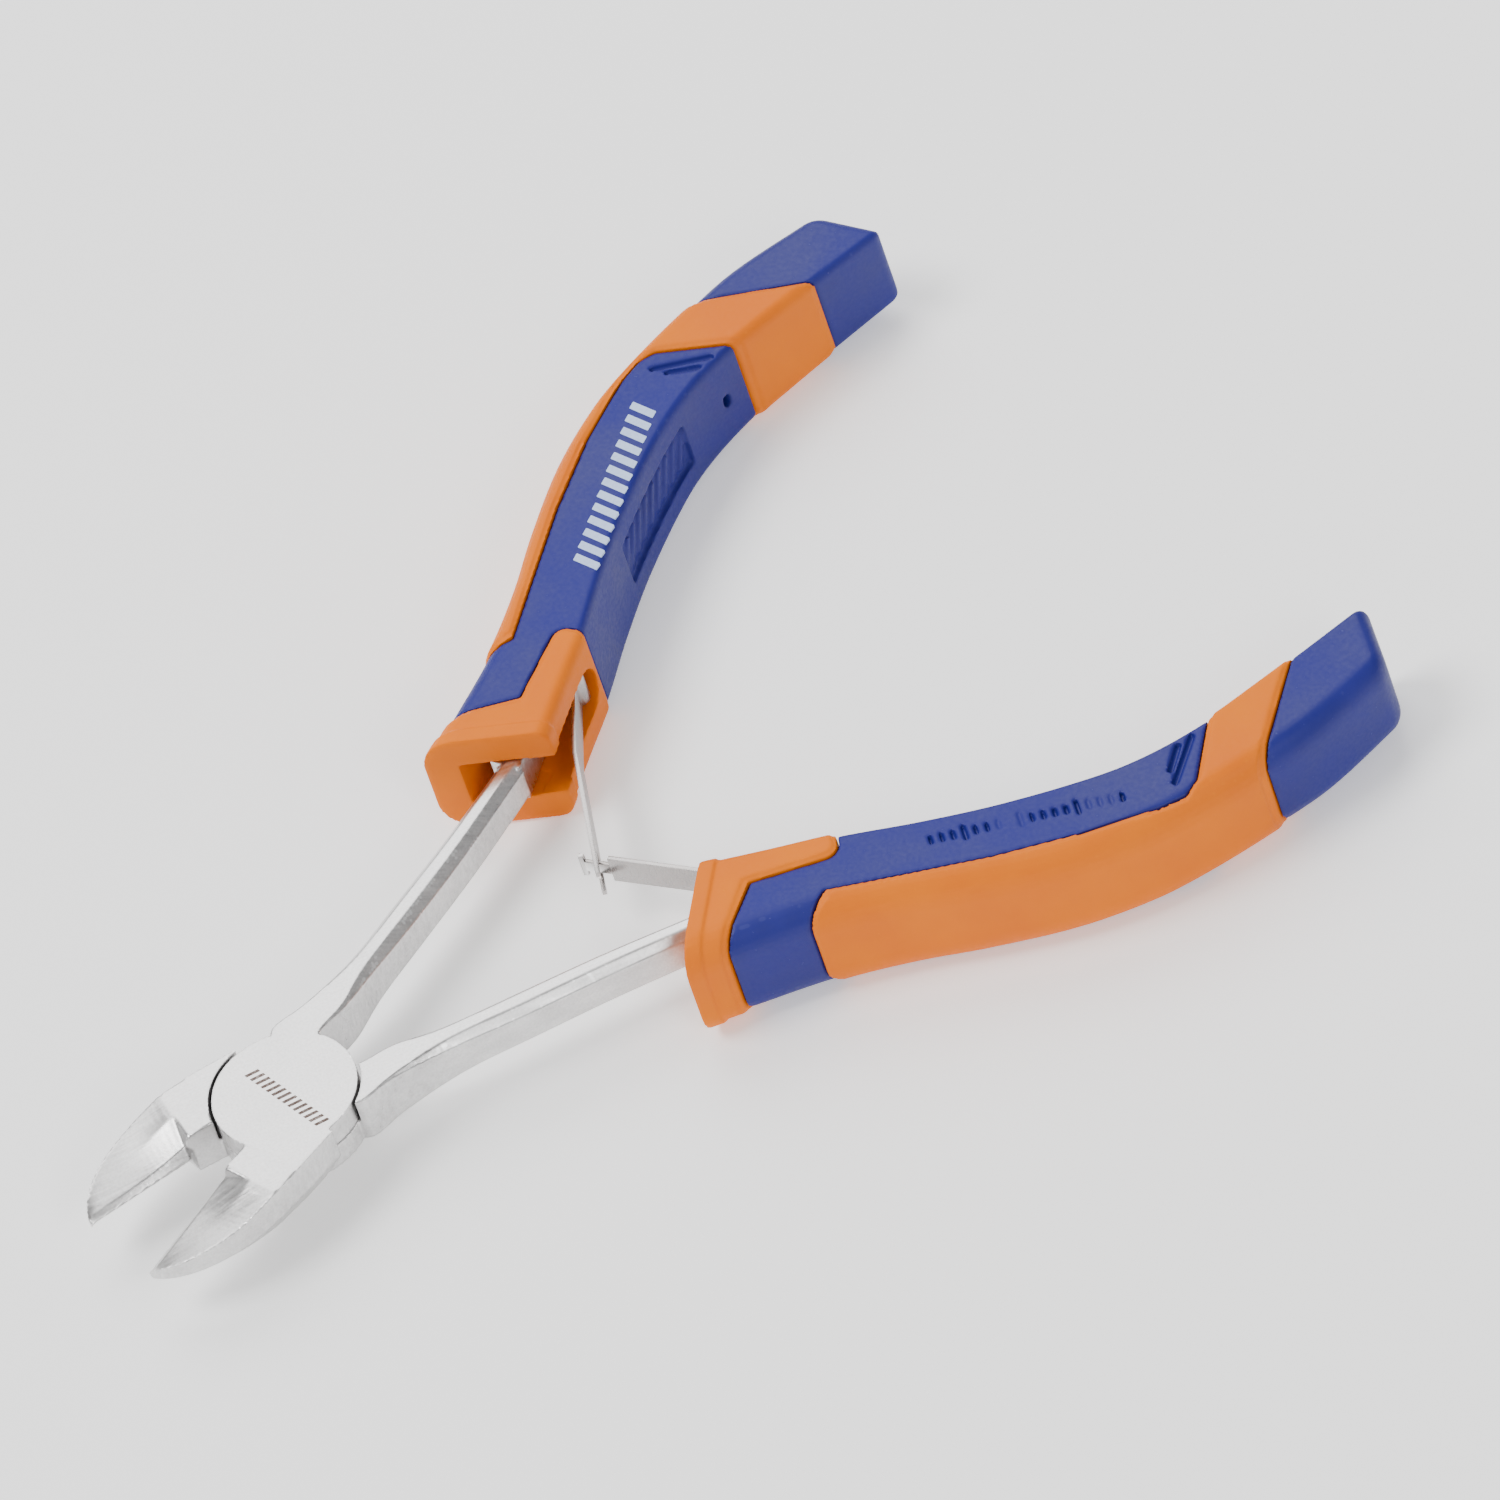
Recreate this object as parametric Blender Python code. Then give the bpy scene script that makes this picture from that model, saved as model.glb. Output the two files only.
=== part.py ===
"""Mini side cutter with a twin-leaf return spring, modelled as separate pieces.

Frame: metres, +Z up, the tool lies flat.  The pivot axis is Z through the
origin, which lies in the top face of the joint.  The jaws point along -Y and
the grips along +Y.  The tool stands at
rest fully open.  Its two halves are the same shape turned half a turn about Y,
but for the jaws, which mirror each other so that their edges meet.
"""
import math

import bmesh
import bpy
from mathutils import Matrix, Vector

MM = 0.001

# Opening
OPEN_HALF = math.radians(11.5)     # each half, from jaws shut to rest

# Head and jaws
HEAD_R = 6.6 * MM                  # radius of the lapped discs
HEAD_GAP = 0.25 * MM               # between a disc and the other half's wall
HEAD_HALF_T = 2.5 * MM             # half the thickness of the joint
LAP_GAP = 0.1 * MM                 # between the two discs
JAW_TIP_Y = -20.3 * MM
JAW_CURVE_Y = -6.0 * MM            # where the outside of a jaw starts to curve
JAW_W = 6.95 * MM
JAW_CURVE_POWER = 0.55
JAW_CURVE_STEPS = 12
EDGE_OFF = 0.06 * MM               # from the closing line to a cutting edge
THROAT_Y = -9.9 * MM
THROAT_W = 1.3 * MM
THROAT_TOP_Y = -9.3 * MM
JAW_TIP_W = 0.6 * MM
JAW_ROOT_Y = -1.5 * MM             # where the jaw runs into the disc
JAW_TOP = ((-20.3, 0.1), (-17.6, 0.8), (-13.4, 1.45), (-8.5, 2.5))  # heights of its outer top edge (y, z)
JAW_SIDE_LOW = ((-20.3, -1.2), (-13.4, -1.1), (-8.5, -0.7))   # where its side turns under
JAW_BOTTOM = ((-20.3, -1.4), (-13.4, -2.2), (-8.5, -2.5))
JAW_UNDER = 0.9                    # how far the side turns under
EDGE_Z = ((-20.3, -0.8), (-8.8, 0.4))                         # height of the cutting edge
BEVEL_RUN = ((-20.3, 0.6), (-13.4, 0.7), (-9.9, 1.6))         # how far the edge bevel reaches back
BEVEL_RISE = ((-20.3, 0.45), (-13.4, 0.75), (-9.9, 1.9))
RELIEF = 1.2                       # slope of the hollow under the edge
TOP_SHARE = 0.7                    # most of the width that the bevel, the hollow and the underside may take
LOW_SHARE = 0.6
UNDER_SHARE = 0.2
CAP_STEP = 0.02                    # keeps the corners of a capped section apart

# Rivet
RIVET_R = 2.2 * MM
RIVET_HEAD_R = 3.0 * MM
RIVET_HEAD_T = 0.8 * MM
RIVET_GAP = 0.1 * MM
RIVET_TOP_COVER = 0.8 * MM         # steel left over the rivet in the top disc

# Shanks, as inner and outer edges in plan (x, y) on the +X side
SHANK_INNER = ((1.9, 4.4), (2.9, 6.7), (3.4, 9.8), (4.9, 14.0), (6.8, 20.5), (9.3, 28.4), (12.6, 37.4))
SHANK_OUTER = ((4.4, 2.5), (6.4, 3.6), (6.5, 7.5), (7.6, 13.5), (9.6, 20.0), (12.1, 28.4), (15.2, 37.6))
SHANK_HALF_T = (2.5, 2.5, 2.5, 2.4, 2.3, 2.3, 2.3)
SHANK_EDGE = (0.1, 0.1, 0.3, 0.7, 0.8, 0.8, 0.8)

# Grip frame: u runs along the grip, v outward
GRIP_ANGLE = math.radians(24.8)
GRIP_HALF_T = ((34, 5.2), (60, 5.2), (82, 5.1), (103, 4.6))
GRIP_INNER = ((34, -7.3), (41, -6.3), (47, -5.3), (53, -4.4), (60, -2.9), (67.5, -1.7),
              (76.5, -1.1), (81.5, -1.6), (86.7, -3.0), (91, -4.8), (95.5, -6.8), (103, -10.2))
GRIP_OUTER = ((34, 3.6), (41, 3.5), (49, 3.5), (56, 4.4), (62, 5.7), (70, 6.9),
              (77, 6.8), (82, 5.9), (89, 4.0), (95, 2.0), (103, -2.6))
REGION_HALF_T = 9.0                # taller than the grip, for cutters
GRIP_START = 34.0
GRIP_END = 103.0
GRIP_STEPS = 34
GRIP_R_IN = 0.9                    # corner radius along the inner edges
GRIP_R_OUT = 2.4                   # corner radius along the outer edges
CORNER_STEPS = 5
END_ROUND = 1.3
END_STEPS = 4
RAISE = 0.25                       # how far the soft parts stand proud
SINK = -1.1                        # how deep the soft parts are let in
SEAM = 0.1                         # open seam between hard and soft parts

# Regions in the grip frame (u, v)
FRONT_LINE = ((43.9, -14.0), (34.2, 9.0))
COLLAR_BACK = ((44.2, -2.45), (40.2, 3.6), (36.8, 9.0))
SPUR_TIP = (52.6, -2.1)
SPUR_ROUND = 1.3
BAND_EDGE = ((50.2, 1.3), (57, 2.6), (65, 4.1), (73, 5.0), (80, 5.1), (82.6, 4.7))
BAND_FRONT = ((46.9, 4.3), (44.0, 9.0))
RING_FRONT = ((83.9, 3.6), (86.7, -3.0), (90.8, -14.0))
RING_BACK = ((99.4, -14.0), (95.6, -6.8), (89.8, 4.1), (87.2, 9.0))
FLANGE_W = 1.6
FLANGE_RAISE = 0.35

# Tang and spring slot, in the grip frame
TANG_END = 72.0
TANG_V = ((39.0, -2.6), (46, -1.3), (60, 1.2), (72.0, 2.7))
TANG_HALF_W = 1.5
TANG_HALF_T = 2.1
TANG_CLEAR = 0.12
MOUTH_V = (-4.6, 1.2)              # opening around the shank in the collar front
MOUTH_DEPTH = 42.6
SLOT_HALF_T = 2.4
SLOT_END = 51.8
SLOT_DEPTH_V = -1.9

# Leaf springs, in plan on the +X side
LEAF_HINGE = (17.75, 47.2)
LEAF_BEND = (11.1, 42.0)
LEAF_MEET = (0.0, 35.4)
EYE_R = 0.95
PIN_R = 0.55
PIN_GAP = 0.05
LEAF_HALF_T = 0.2
LEAF_HALF_H = 1.5
TAB_NECK_HALF_H = 0.6
TAB_HEAD_HALF_H = 1.3
TAB_HEAD = 1.1                     # reach of the tab past the other leaf
TAB_STOP = 1.3                     # where the full-height leaf stops short
TAB_HEAD_T = 0.5
SLOT_HALF_H = 0.95
SLOT_LEAF = (-1.2, 2.4)            # ends of the window, along the slotted leaf
LEAF_OVER = 2.1                    # slotted leaf past the meeting point


def clear_scene():
    """Remove every object from the scene."""
    for obj in list(bpy.data.objects):
        bpy.data.objects.remove(obj, do_unlink=True)


def material(name, color, metallic, roughness):
    """Make one plain material."""
    mat = bpy.data.materials.new(name)
    mat.use_nodes = True
    shader = mat.node_tree.nodes["Principled BSDF"]
    shader.inputs["Base Color"].default_value = (*color, 1.0)
    shader.inputs["Metallic"].default_value = metallic
    shader.inputs["Roughness"].default_value = roughness
    mat.diffuse_color = (*color, 1.0)
    return mat


def steel(name):
    """Ground and satin polished tool steel."""
    return material(name, (0.74, 0.73, 0.72), 1.0, 0.34)


def spring_steel(name):
    """Rolled strip steel."""
    return material(name, (0.52, 0.50, 0.49), 1.0, 0.36)


def hard_blue(name):
    """Hard blue grip plastic."""
    return material(name, (0.035, 0.055, 0.32), 0.0, 0.5)


def soft_orange(name):
    """Soft orange grip rubber."""
    return material(name, (0.95, 0.30, 0.015), 0.0, 0.55)


def smooth_curve(points, value):
    """Read a smooth curve through (key, value) points at one key."""
    last = len(points) - 1
    index = 0
    while index < last - 1 and value > points[index + 1][0]:
        index += 1
    (x0, y0), (x1, y1) = points[index], points[index + 1]
    before = points[max(index - 1, 0)]
    after = points[min(index + 2, last)]
    slope0 = (y1 - before[1]) / (x1 - before[0])
    slope1 = (after[1] - y0) / (after[0] - x0)
    span = x1 - x0
    t = (value - x0) / span
    h00 = 2 * t ** 3 - 3 * t ** 2 + 1
    h10 = t ** 3 - 2 * t ** 2 + t
    h01 = 3 * t ** 2 - 2 * t ** 3
    h11 = t ** 3 - t ** 2
    return h00 * y0 + h10 * span * slope0 + h01 * y1 + h11 * span * slope1


def grip_to_plan(u, v):
    """Turn grip coordinates in millimetres into a plan point in metres."""
    x = u * math.sin(GRIP_ANGLE) + v * math.cos(GRIP_ANGLE)
    y = u * math.cos(GRIP_ANGLE) - v * math.sin(GRIP_ANGLE)
    return x * MM, y * MM


def new_object(name, bm, mat=None):
    """Turn a bmesh into a named object."""
    bmesh.ops.recalc_face_normals(bm, faces=bm.faces)
    mesh = bpy.data.meshes.new(name)
    bm.to_mesh(mesh)
    bm.free()
    obj = bpy.data.objects.new(name, mesh)
    if mat is not None:
        mesh.materials.append(mat)
    bpy.context.collection.objects.link(obj)
    return obj


def prism(name, outline, z_low, z_high, mat=None):
    """Extrude a plan outline (metres) between two heights."""
    bm = bmesh.new()
    rings = []
    for z in (z_low, z_high):
        rings.append([bm.verts.new((x, y, z)) for x, y in outline])
    low, high = rings
    bm.faces.new(list(reversed(low)))
    bm.faces.new(high)
    for i in range(len(outline)):
        j = (i + 1) % len(outline)
        bm.faces.new((low[i], low[j], high[j], high[i]))
    return new_object(name, bm, mat)


def grip_prism(name, outline, half_t):
    """Extrude an outline given in grip coordinates, even about z = 0."""
    return prism(name, [grip_to_plan(u, v) for u, v in outline], -half_t * MM, half_t * MM)


def loft(name, rings, mat=None):
    """Skin a row of closed sections, given as lists of points in metres."""
    bm = bmesh.new()
    loops = [[bm.verts.new(point) for point in ring] for ring in rings]
    count = len(loops[0])
    for a, b in zip(loops, loops[1:]):
        for i in range(count):
            j = (i + 1) % count
            bm.faces.new((a[i], a[j], b[j], b[i]))
    bm.faces.new(list(reversed(loops[0])))
    bm.faces.new(loops[-1])
    bmesh.ops.triangulate(bm, faces=bm.faces)
    return new_object(name, bm, mat)


def circle(radius, start=0.0, end=2 * math.pi, steps=64, closed=True):
    """Points on an arc about the pivot, angles from +X."""
    count = steps if closed else steps + 1
    return [(radius * math.cos(start + (end - start) * i / steps),
             radius * math.sin(start + (end - start) * i / steps)) for i in range(count)]


def boolean(target, cutter, operation="DIFFERENCE"):
    """Apply one exact Boolean and drop the cutter."""
    cutter.hide_render = True
    cutter.display_type = "WIRE"
    mod = target.modifiers.new("cut", "BOOLEAN")
    mod.operation = operation
    mod.solver = "EXACT"
    mod.object = cutter
    bake(target)
    bpy.data.objects.remove(cutter, do_unlink=True)
    return target


def bake(obj):
    """Replace an object's mesh with its evaluated mesh."""
    graph = bpy.context.evaluated_depsgraph_get()
    mesh = bpy.data.meshes.new_from_object(obj.evaluated_get(graph))
    obj.modifiers.clear()
    old = obj.data
    obj.data = mesh
    bpy.data.meshes.remove(old)
    mesh.name = obj.name


def turn(obj, matrix):
    """Transform an object's mesh."""
    obj.data.transform(matrix)
    obj.data.update()


def copy_object(obj, name):
    """Copy an object with its own mesh."""
    twin = obj.copy()
    twin.data = obj.data.copy()
    twin.name = name
    bpy.context.collection.objects.link(twin)
    return twin


def set_origin(obj, point):
    """Move an object's origin to a point without moving its shape."""
    shift = Vector(point)
    turn(obj, Matrix.Translation(-shift))
    obj.location = shift


def jaw_section(y, up):
    """One cross-section of the jaw at y, as (x, z) from edge to edge (millimetres)."""
    t = max(0.0, (JAW_CURVE_Y - y) / (JAW_CURVE_Y - JAW_TIP_Y))
    outer = max(JAW_W * (1 - t * t) ** JAW_CURVE_POWER, JAW_TIP_W) / MM
    y = y / MM
    top, bottom, side_low, edge, run, rise = (smooth_curve(curve, min(y, curve[-1][0])) for curve in
                                              (JAW_TOP, JAW_BOTTOM, JAW_SIDE_LOW, EDGE_Z, BEVEL_RUN, BEVEL_RISE))
    inner = EDGE_OFF / MM
    back, low = inner + run, inner + (edge - bottom) * RELIEF
    bevel_top = edge + rise
    if y > THROAT_Y / MM:
        inner = THROAT_W / MM
        back = low = inner + CAP_STEP
        bevel_top = top
    back, low = min(back, outer * TOP_SHARE), min(low, outer * LOW_SHARE)
    under = outer - min(JAW_UNDER, outer * UNDER_SHARE)
    ring = ((inner, edge), (back, bevel_top), (outer, top), (outer, side_low), (under, bottom), (low, bottom))
    return [(-x, z * up) for x, z in ring]


def jaw_block(up):
    """The -X jaw, skinned from tip to joint, its edge bevel facing up (1) or down (-1)."""
    stops = [JAW_TIP_Y + (THROAT_Y - JAW_TIP_Y) * (i / JAW_CURVE_STEPS) ** 1.5
             for i in range(JAW_CURVE_STEPS + 1)]
    stops += [THROAT_TOP_Y, JAW_CURVE_Y, JAW_ROOT_Y]
    rings = [[(x * MM, y, z * MM) for x, z in jaw_section(y, up)] for y in stops]
    jaw = loft("jaw", rings)
    turn(jaw, Matrix.Rotation(-OPEN_HALF, 4, "Z"))
    return jaw


def shank_bar():
    """The +X shank: a flat bar with chamfered corners, skinned station by station."""
    rings = []
    for inner, outer, half, edge in zip(SHANK_INNER, SHANK_OUTER, SHANK_HALF_T, SHANK_EDGE):
        start = Vector((*inner, 0.0))
        across = Vector((*outer, 0.0)) - start
        width = across.length
        across.normalize()
        corners = ((edge, -half), (width - edge, -half), (width, edge - half), (width, half - edge),
                   (width - edge, half), (edge, half), (0.0, half - edge), (0.0, edge - half))
        rings.append([(start + across * run + Vector((0, 0, z))) * MM for run, z in corners])
    return loft("shank", rings)


def tang_outline(clear):
    """Outline of the tang in grip coordinates."""
    steps = 10
    start = TANG_V[0][0] - clear
    end = TANG_END + clear
    keys = [start + (end - start) * i / steps for i in range(steps + 1)]
    half = TANG_HALF_W + clear
    low = [(u, smooth_curve(TANG_V, u) - half) for u in keys]
    high = [(u, smooth_curve(TANG_V, u) + half) for u in reversed(keys)]
    return low + high


def lever(name, up):
    """One half, disc down: -X jaw facing up (1) or down (-1), disc under the lap, +X shank and tang."""
    disc = prism(name, circle(HEAD_R), -HEAD_HALF_T, -LAP_GAP / 2, steel(name + "_steel"))
    shank = shank_bar()
    boolean(shank, grip_prism("tang", tang_outline(0.0), TANG_HALF_T), "UNION")
    jaw = jaw_block(up)
    boolean(jaw, shank, "UNION")
    room = prism("room", circle(HEAD_R + HEAD_GAP), -LAP_GAP / 2, HEAD_HALF_T * 2)
    boolean(jaw, room)
    boolean(disc, jaw, "UNION")
    return disc


def grip_section(u, grow, shrink=0.0):
    """One cross-section of the grip at u, grown by an offset."""
    low = smooth_curve(GRIP_INNER, u) - grow + shrink
    high = smooth_curve(GRIP_OUTER, u) + grow - shrink
    half = smooth_curve(GRIP_HALF_T, u) + grow - shrink
    corners = (
        (high, half, GRIP_R_OUT + grow, 0),
        (low, half, max(GRIP_R_IN + grow, 0.3), 1),
        (low, -half, max(GRIP_R_IN + grow, 0.3), 2),
        (high, -half, GRIP_R_OUT + grow, 3),
    )
    points = []
    for v, z, radius, quarter in corners:
        cv = v - math.copysign(radius, v - (low + high) / 2)
        cz = z - math.copysign(radius, z)
        for i in range(CORNER_STEPS + 1):
            angle = math.pi / 2 * (quarter + i / CORNER_STEPS)
            points.append((cv + radius * math.cos(angle), cz + radius * math.sin(angle)))
    return points


def grip_solid(name, grow, mat=None):
    """The whole outside of the +X grip, grown by an offset."""
    end = GRIP_END + grow
    length = end - END_ROUND - GRIP_START
    stations = [(GRIP_START + length * i / GRIP_STEPS, 0.0) for i in range(GRIP_STEPS + 1)]
    for i in range(1, END_STEPS + 1):
        angle = math.pi / 2 * i / END_STEPS
        stations.append((end - END_ROUND + END_ROUND * math.sin(angle),
                         END_ROUND * (1 - math.cos(angle))))
    rings = []
    for u, shrink in stations:
        section = grip_section(u, grow, shrink)
        rings.append([(*grip_to_plan(u, v), z * MM) for v, z in section])
    return loft(name, rings, mat)


def collar_region(seam, front=FRONT_LINE):
    """Region of the soft collar, grown by a seam on its back edges."""
    (tip_u, tip_v) = SPUR_TIP
    points = list(front)
    points += [(u + seam, v) for u, v in reversed(COLLAR_BACK[1:])]
    points.append((COLLAR_BACK[0][0] + seam, COLLAR_BACK[0][1] + seam))
    for i in range(4):
        angle = math.pi / 2 * i / 3
        points.append((tip_u - SPUR_ROUND + (SPUR_ROUND + seam) * math.sin(angle),
                       tip_v - SPUR_ROUND + (SPUR_ROUND + seam) * math.cos(angle)))
    points.append((tip_u + seam + 1.2, -14.0))
    return points


def band_region(seam):
    """Region of the soft side band with its ring, shrunk by a seam."""
    points = [(u + seam, v) for u, v in reversed(BAND_FRONT)]
    points += [(u, v + seam) for u, v in BAND_EDGE]
    points += [(u + seam, v) for u, v in RING_FRONT]
    points += [(u - seam, v) for u, v in RING_BACK]
    return points


def core(name):
    """Hard sleeve of the +X grip."""
    body = grip_solid(name, 0.0, hard_blue(name + "_blue"))
    boolean(body, grip_prism("collar_room", collar_region(SEAM, ((30, -14), (30, 9))), REGION_HALF_T))
    ring = grip_prism("band_room", band_region(0.0), REGION_HALF_T)
    boolean(ring, grip_solid("inside", SINK))
    boolean(body, ring)
    boolean(body, spring_slot())
    boolean(body, grip_prism("cavity", tang_outline(TANG_CLEAR), TANG_HALF_T + TANG_CLEAR))
    return body


def spring_slot():
    """Cutter for the slot that the leaf folds into."""
    outline = [(30, -14), (SLOT_END, -14), (SLOT_END, SLOT_DEPTH_V - 1),
               (SLOT_END - 1, SLOT_DEPTH_V), (30, SLOT_DEPTH_V)]
    return grip_prism("slot", outline, SLOT_HALF_T)


def collar(name):
    """Soft front collar of the +X grip with its flange, mouth and spring slot."""
    body = grip_solid(name, RAISE, soft_orange(name + "_orange"))
    boolean(body, grip_prism("part", collar_region(0.0), REGION_HALF_T), "INTERSECT")
    flange = grip_solid("flange", RAISE + FLANGE_RAISE)
    (u0, v0), (u1, v1) = FRONT_LINE
    strip = [(u0, v0), (u1, v1), (u1 + FLANGE_W, v1), (u0 + FLANGE_W, v0)]
    boolean(flange, grip_prism("strip", strip, REGION_HALF_T), "INTERSECT")
    boolean(body, flange, "UNION")
    mouth = [(30, MOUTH_V[0]), (MOUTH_DEPTH, MOUTH_V[0]), (MOUTH_DEPTH, MOUTH_V[1]), (30, MOUTH_V[1])]
    boolean(body, grip_prism("mouth", mouth, SLOT_HALF_T + 0.1))
    boolean(body, spring_slot())
    boolean(body, grip_prism("tang", tang_outline(TANG_CLEAR), TANG_HALF_T + TANG_CLEAR))
    return body


def band(name):
    """Soft side band and ring of the +X grip."""
    body = grip_solid(name, RAISE, soft_orange(name + "_orange"))
    boolean(body, grip_prism("part", band_region(SEAM), REGION_HALF_T), "INTERSECT")
    boolean(body, grip_solid("inside", SINK + SEAM))
    return body


def strip(name, stations, mat=None):
    """Bend a flat strip along plan points, each with its own half height (millimetres)."""
    rings = []
    points = [Vector(point) for point, _ in stations]
    last = len(points) - 1
    for i, (_, half_h) in enumerate(stations):
        along_in = (points[max(i, 1)] - points[max(i, 1) - 1]).normalized()
        along_out = (points[min(i, last - 1) + 1] - points[min(i, last - 1)]).normalized()
        side = (along_in + along_out).normalized().orthogonal()
        reach = side * (LEAF_HALF_T / side.dot(along_in.orthogonal()))
        corners = ((1, half_h), (-1, half_h), (-1, -half_h), (1, -half_h))
        rings.append([Vector((*(points[i] + reach * sign), z)) * MM for sign, z in corners])
    return loft(name, rings, mat)


def leaf_frame():
    """Tail, bend and meeting point of the +X leaf, and the way it runs."""
    hinge, bend, meet = Vector(LEAF_HINGE), Vector(LEAF_BEND), Vector(LEAF_MEET)
    tail = hinge + (bend - hinge).normalized() * (EYE_R + PIN_R + PIN_GAP) / 2
    return tail, bend, meet, (meet - bend).normalized()


def add_eye(leaf):
    """Roll the leaf's root into an eye around its pin."""
    hinge = Vector(LEAF_HINGE) * MM
    height = (LEAF_HALF_H + 0.05) * MM
    rings = [[(hinge.x + x, hinge.y + y) for x, y in circle(radius * MM, steps=24)]
             for radius in (EYE_R, PIN_R + PIN_GAP)]
    boolean(leaf, prism("eye", rings[0], -height, height), "UNION")
    boolean(leaf, prism("hole", rings[1], -height * 2, height * 2))


def spring_pin(name):
    """The pin the +X leaf turns on, standing between the slot's floor and roof."""
    hinge = Vector(LEAF_HINGE) * MM
    outline = [(hinge.x + x, hinge.y + y) for x, y in circle(PIN_R * MM, steps=24)]
    height = (SLOT_HALF_T - PIN_GAP) * MM
    return prism(name, outline, -height, height, spring_steel(name + "_steel"))


def leaf_with_tab(name):
    """The +X leaf, narrowed to a neck that carries a small cross head."""
    tail, bend, meet, along = leaf_frame()
    neck, step = TAB_NECK_HALF_H, 0.02
    stations = [(tail, LEAF_HALF_H), (bend, LEAF_HALF_H)]
    for run, half_h in ((-TAB_STOP, LEAF_HALF_H), (step - TAB_STOP, neck), (TAB_HEAD, neck),
                        (TAB_HEAD + step, TAB_HEAD_HALF_H), (TAB_HEAD + TAB_HEAD_T, TAB_HEAD_HALF_H)):
        stations.append((meet + along * run, half_h))
    leaf = strip(name, stations, spring_steel(name + "_steel"))
    add_eye(leaf)
    return leaf


def leaf_with_slot(name):
    """The -X leaf, with a window that the other leaf's neck passes through."""
    tail, bend, meet, along = leaf_frame()
    stations = [(tail, LEAF_HALF_H), (bend, LEAF_HALF_H), (meet + along * LEAF_OVER, LEAF_HALF_H)]
    leaf = strip(name, stations, spring_steel(name + "_steel"))
    start, end = (meet + along * run for run in SLOT_LEAF)
    side = along.orthogonal()
    outline = [start + side, end + side, end - side, start - side]
    height = SLOT_HALF_H * MM
    boolean(leaf, prism("window", [(p.x * MM, p.y * MM) for p in outline], -height, height))
    add_eye(leaf)
    turn(leaf, HALF_TURN)
    return leaf


HALF_TURN = Matrix.Rotation(math.pi, 4, "Y")


def rivet(name):
    """Pivot rivet, flush below and blind above."""
    top = HEAD_HALF_T - RIVET_TOP_COVER - RIVET_GAP
    body = prism(name, circle(RIVET_R, steps=40), -HEAD_HALF_T, top, steel(name + "_steel"))
    head = prism("head", circle(RIVET_HEAD_R, steps=40), -HEAD_HALF_T, -HEAD_HALF_T + RIVET_HEAD_T)
    return boolean(body, head, "UNION")


def rivet_hole(clear):
    """Cutter for the rivet's hole."""
    body = prism("hole", circle(RIVET_R + clear, steps=40), -HEAD_HALF_T * 2, HEAD_HALF_T - RIVET_TOP_COVER)
    head = prism("sink", circle(RIVET_HEAD_R + clear, steps=40), -HEAD_HALF_T * 2,
                 -HEAD_HALF_T + RIVET_HEAD_T + clear)
    return boolean(body, head, "UNION")


def build():
    """Build every piece."""
    clear_scene()
    lower = lever("lever_lower", 1)
    upper = lever("lever_upper", -1)
    turn(upper, HALF_TURN)
    for half in (lower, upper):
        boolean(half, rivet_hole(RIVET_GAP))
    rivet("pivot_rivet")

    makers = (("grip_core", core, hard_blue), ("front_collar", collar, soft_orange),
              ("side_band", band, soft_orange), ("spring_pin", spring_pin, spring_steel))
    for label, maker, finish in makers:
        right = maker(label + "_right")
        left = copy_object(right, label + "_left")
        left.data.materials.clear()
        left.data.materials.append(finish(left.name + "_finish"))
        turn(left, HALF_TURN)

    hinge_x, hinge_y = (value * MM for value in LEAF_HINGE)
    set_origin(leaf_with_tab("spring_leaf_right"), (hinge_x, hinge_y, 0))
    set_origin(leaf_with_slot("spring_leaf_left"), (-hinge_x, hinge_y, 0))
    for obj in bpy.context.scene.objects:
        turn(obj, Matrix.Translation((0, 0, -HEAD_HALF_T)))


build()
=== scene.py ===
"""Looks of the mini side cutter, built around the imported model.

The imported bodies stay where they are.  Every visible piece is modelled anew in
millimetres on the bench, set in place in metres, and rides on its own body.
"""
import logging
import math
from collections.abc import Callable, Iterable
from dataclasses import dataclass
from enum import Enum

import bpy
from mathutils import Matrix, Vector


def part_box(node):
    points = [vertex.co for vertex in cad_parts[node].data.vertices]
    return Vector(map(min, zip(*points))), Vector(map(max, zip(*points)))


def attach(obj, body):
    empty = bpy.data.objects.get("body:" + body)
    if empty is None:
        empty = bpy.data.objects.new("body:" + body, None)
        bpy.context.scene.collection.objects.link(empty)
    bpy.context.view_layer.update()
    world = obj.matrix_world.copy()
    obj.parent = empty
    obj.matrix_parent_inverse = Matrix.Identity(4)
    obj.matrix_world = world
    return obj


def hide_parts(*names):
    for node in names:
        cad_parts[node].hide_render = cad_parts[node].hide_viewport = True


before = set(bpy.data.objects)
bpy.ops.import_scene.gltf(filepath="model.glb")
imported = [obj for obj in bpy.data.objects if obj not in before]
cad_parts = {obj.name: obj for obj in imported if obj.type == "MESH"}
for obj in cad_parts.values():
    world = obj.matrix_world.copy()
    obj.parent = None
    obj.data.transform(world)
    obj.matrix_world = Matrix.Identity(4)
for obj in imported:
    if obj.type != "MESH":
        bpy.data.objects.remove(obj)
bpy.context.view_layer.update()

MM = 0.001
LOG = logging.getLogger("side_cutter")

Point = tuple[float, float]
Curve = tuple[Point, ...]
Place = tuple[float, float, float]
Colour = tuple[float, float, float]

NOISE_RANGE: Point = (0.3, 0.7)
CLOUD_RANGE: Point = (0.35, 0.65)


class Side(Enum):
    """Which grip a piece belongs to."""

    RIGHT = "right"
    LEFT = "left"


class Body(Enum):
    """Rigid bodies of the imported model."""

    UPPER = "upper_half"
    LOWER = "lower_half"
    LEFT_LEAF = "left_leaf"
    RIGHT_LEAF = "right_leaf"


class Cut(Enum):
    """How two solids are combined."""

    AWAY = "DIFFERENCE"
    JOIN = "UNION"
    SHARED = "INTERSECT"


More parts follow.
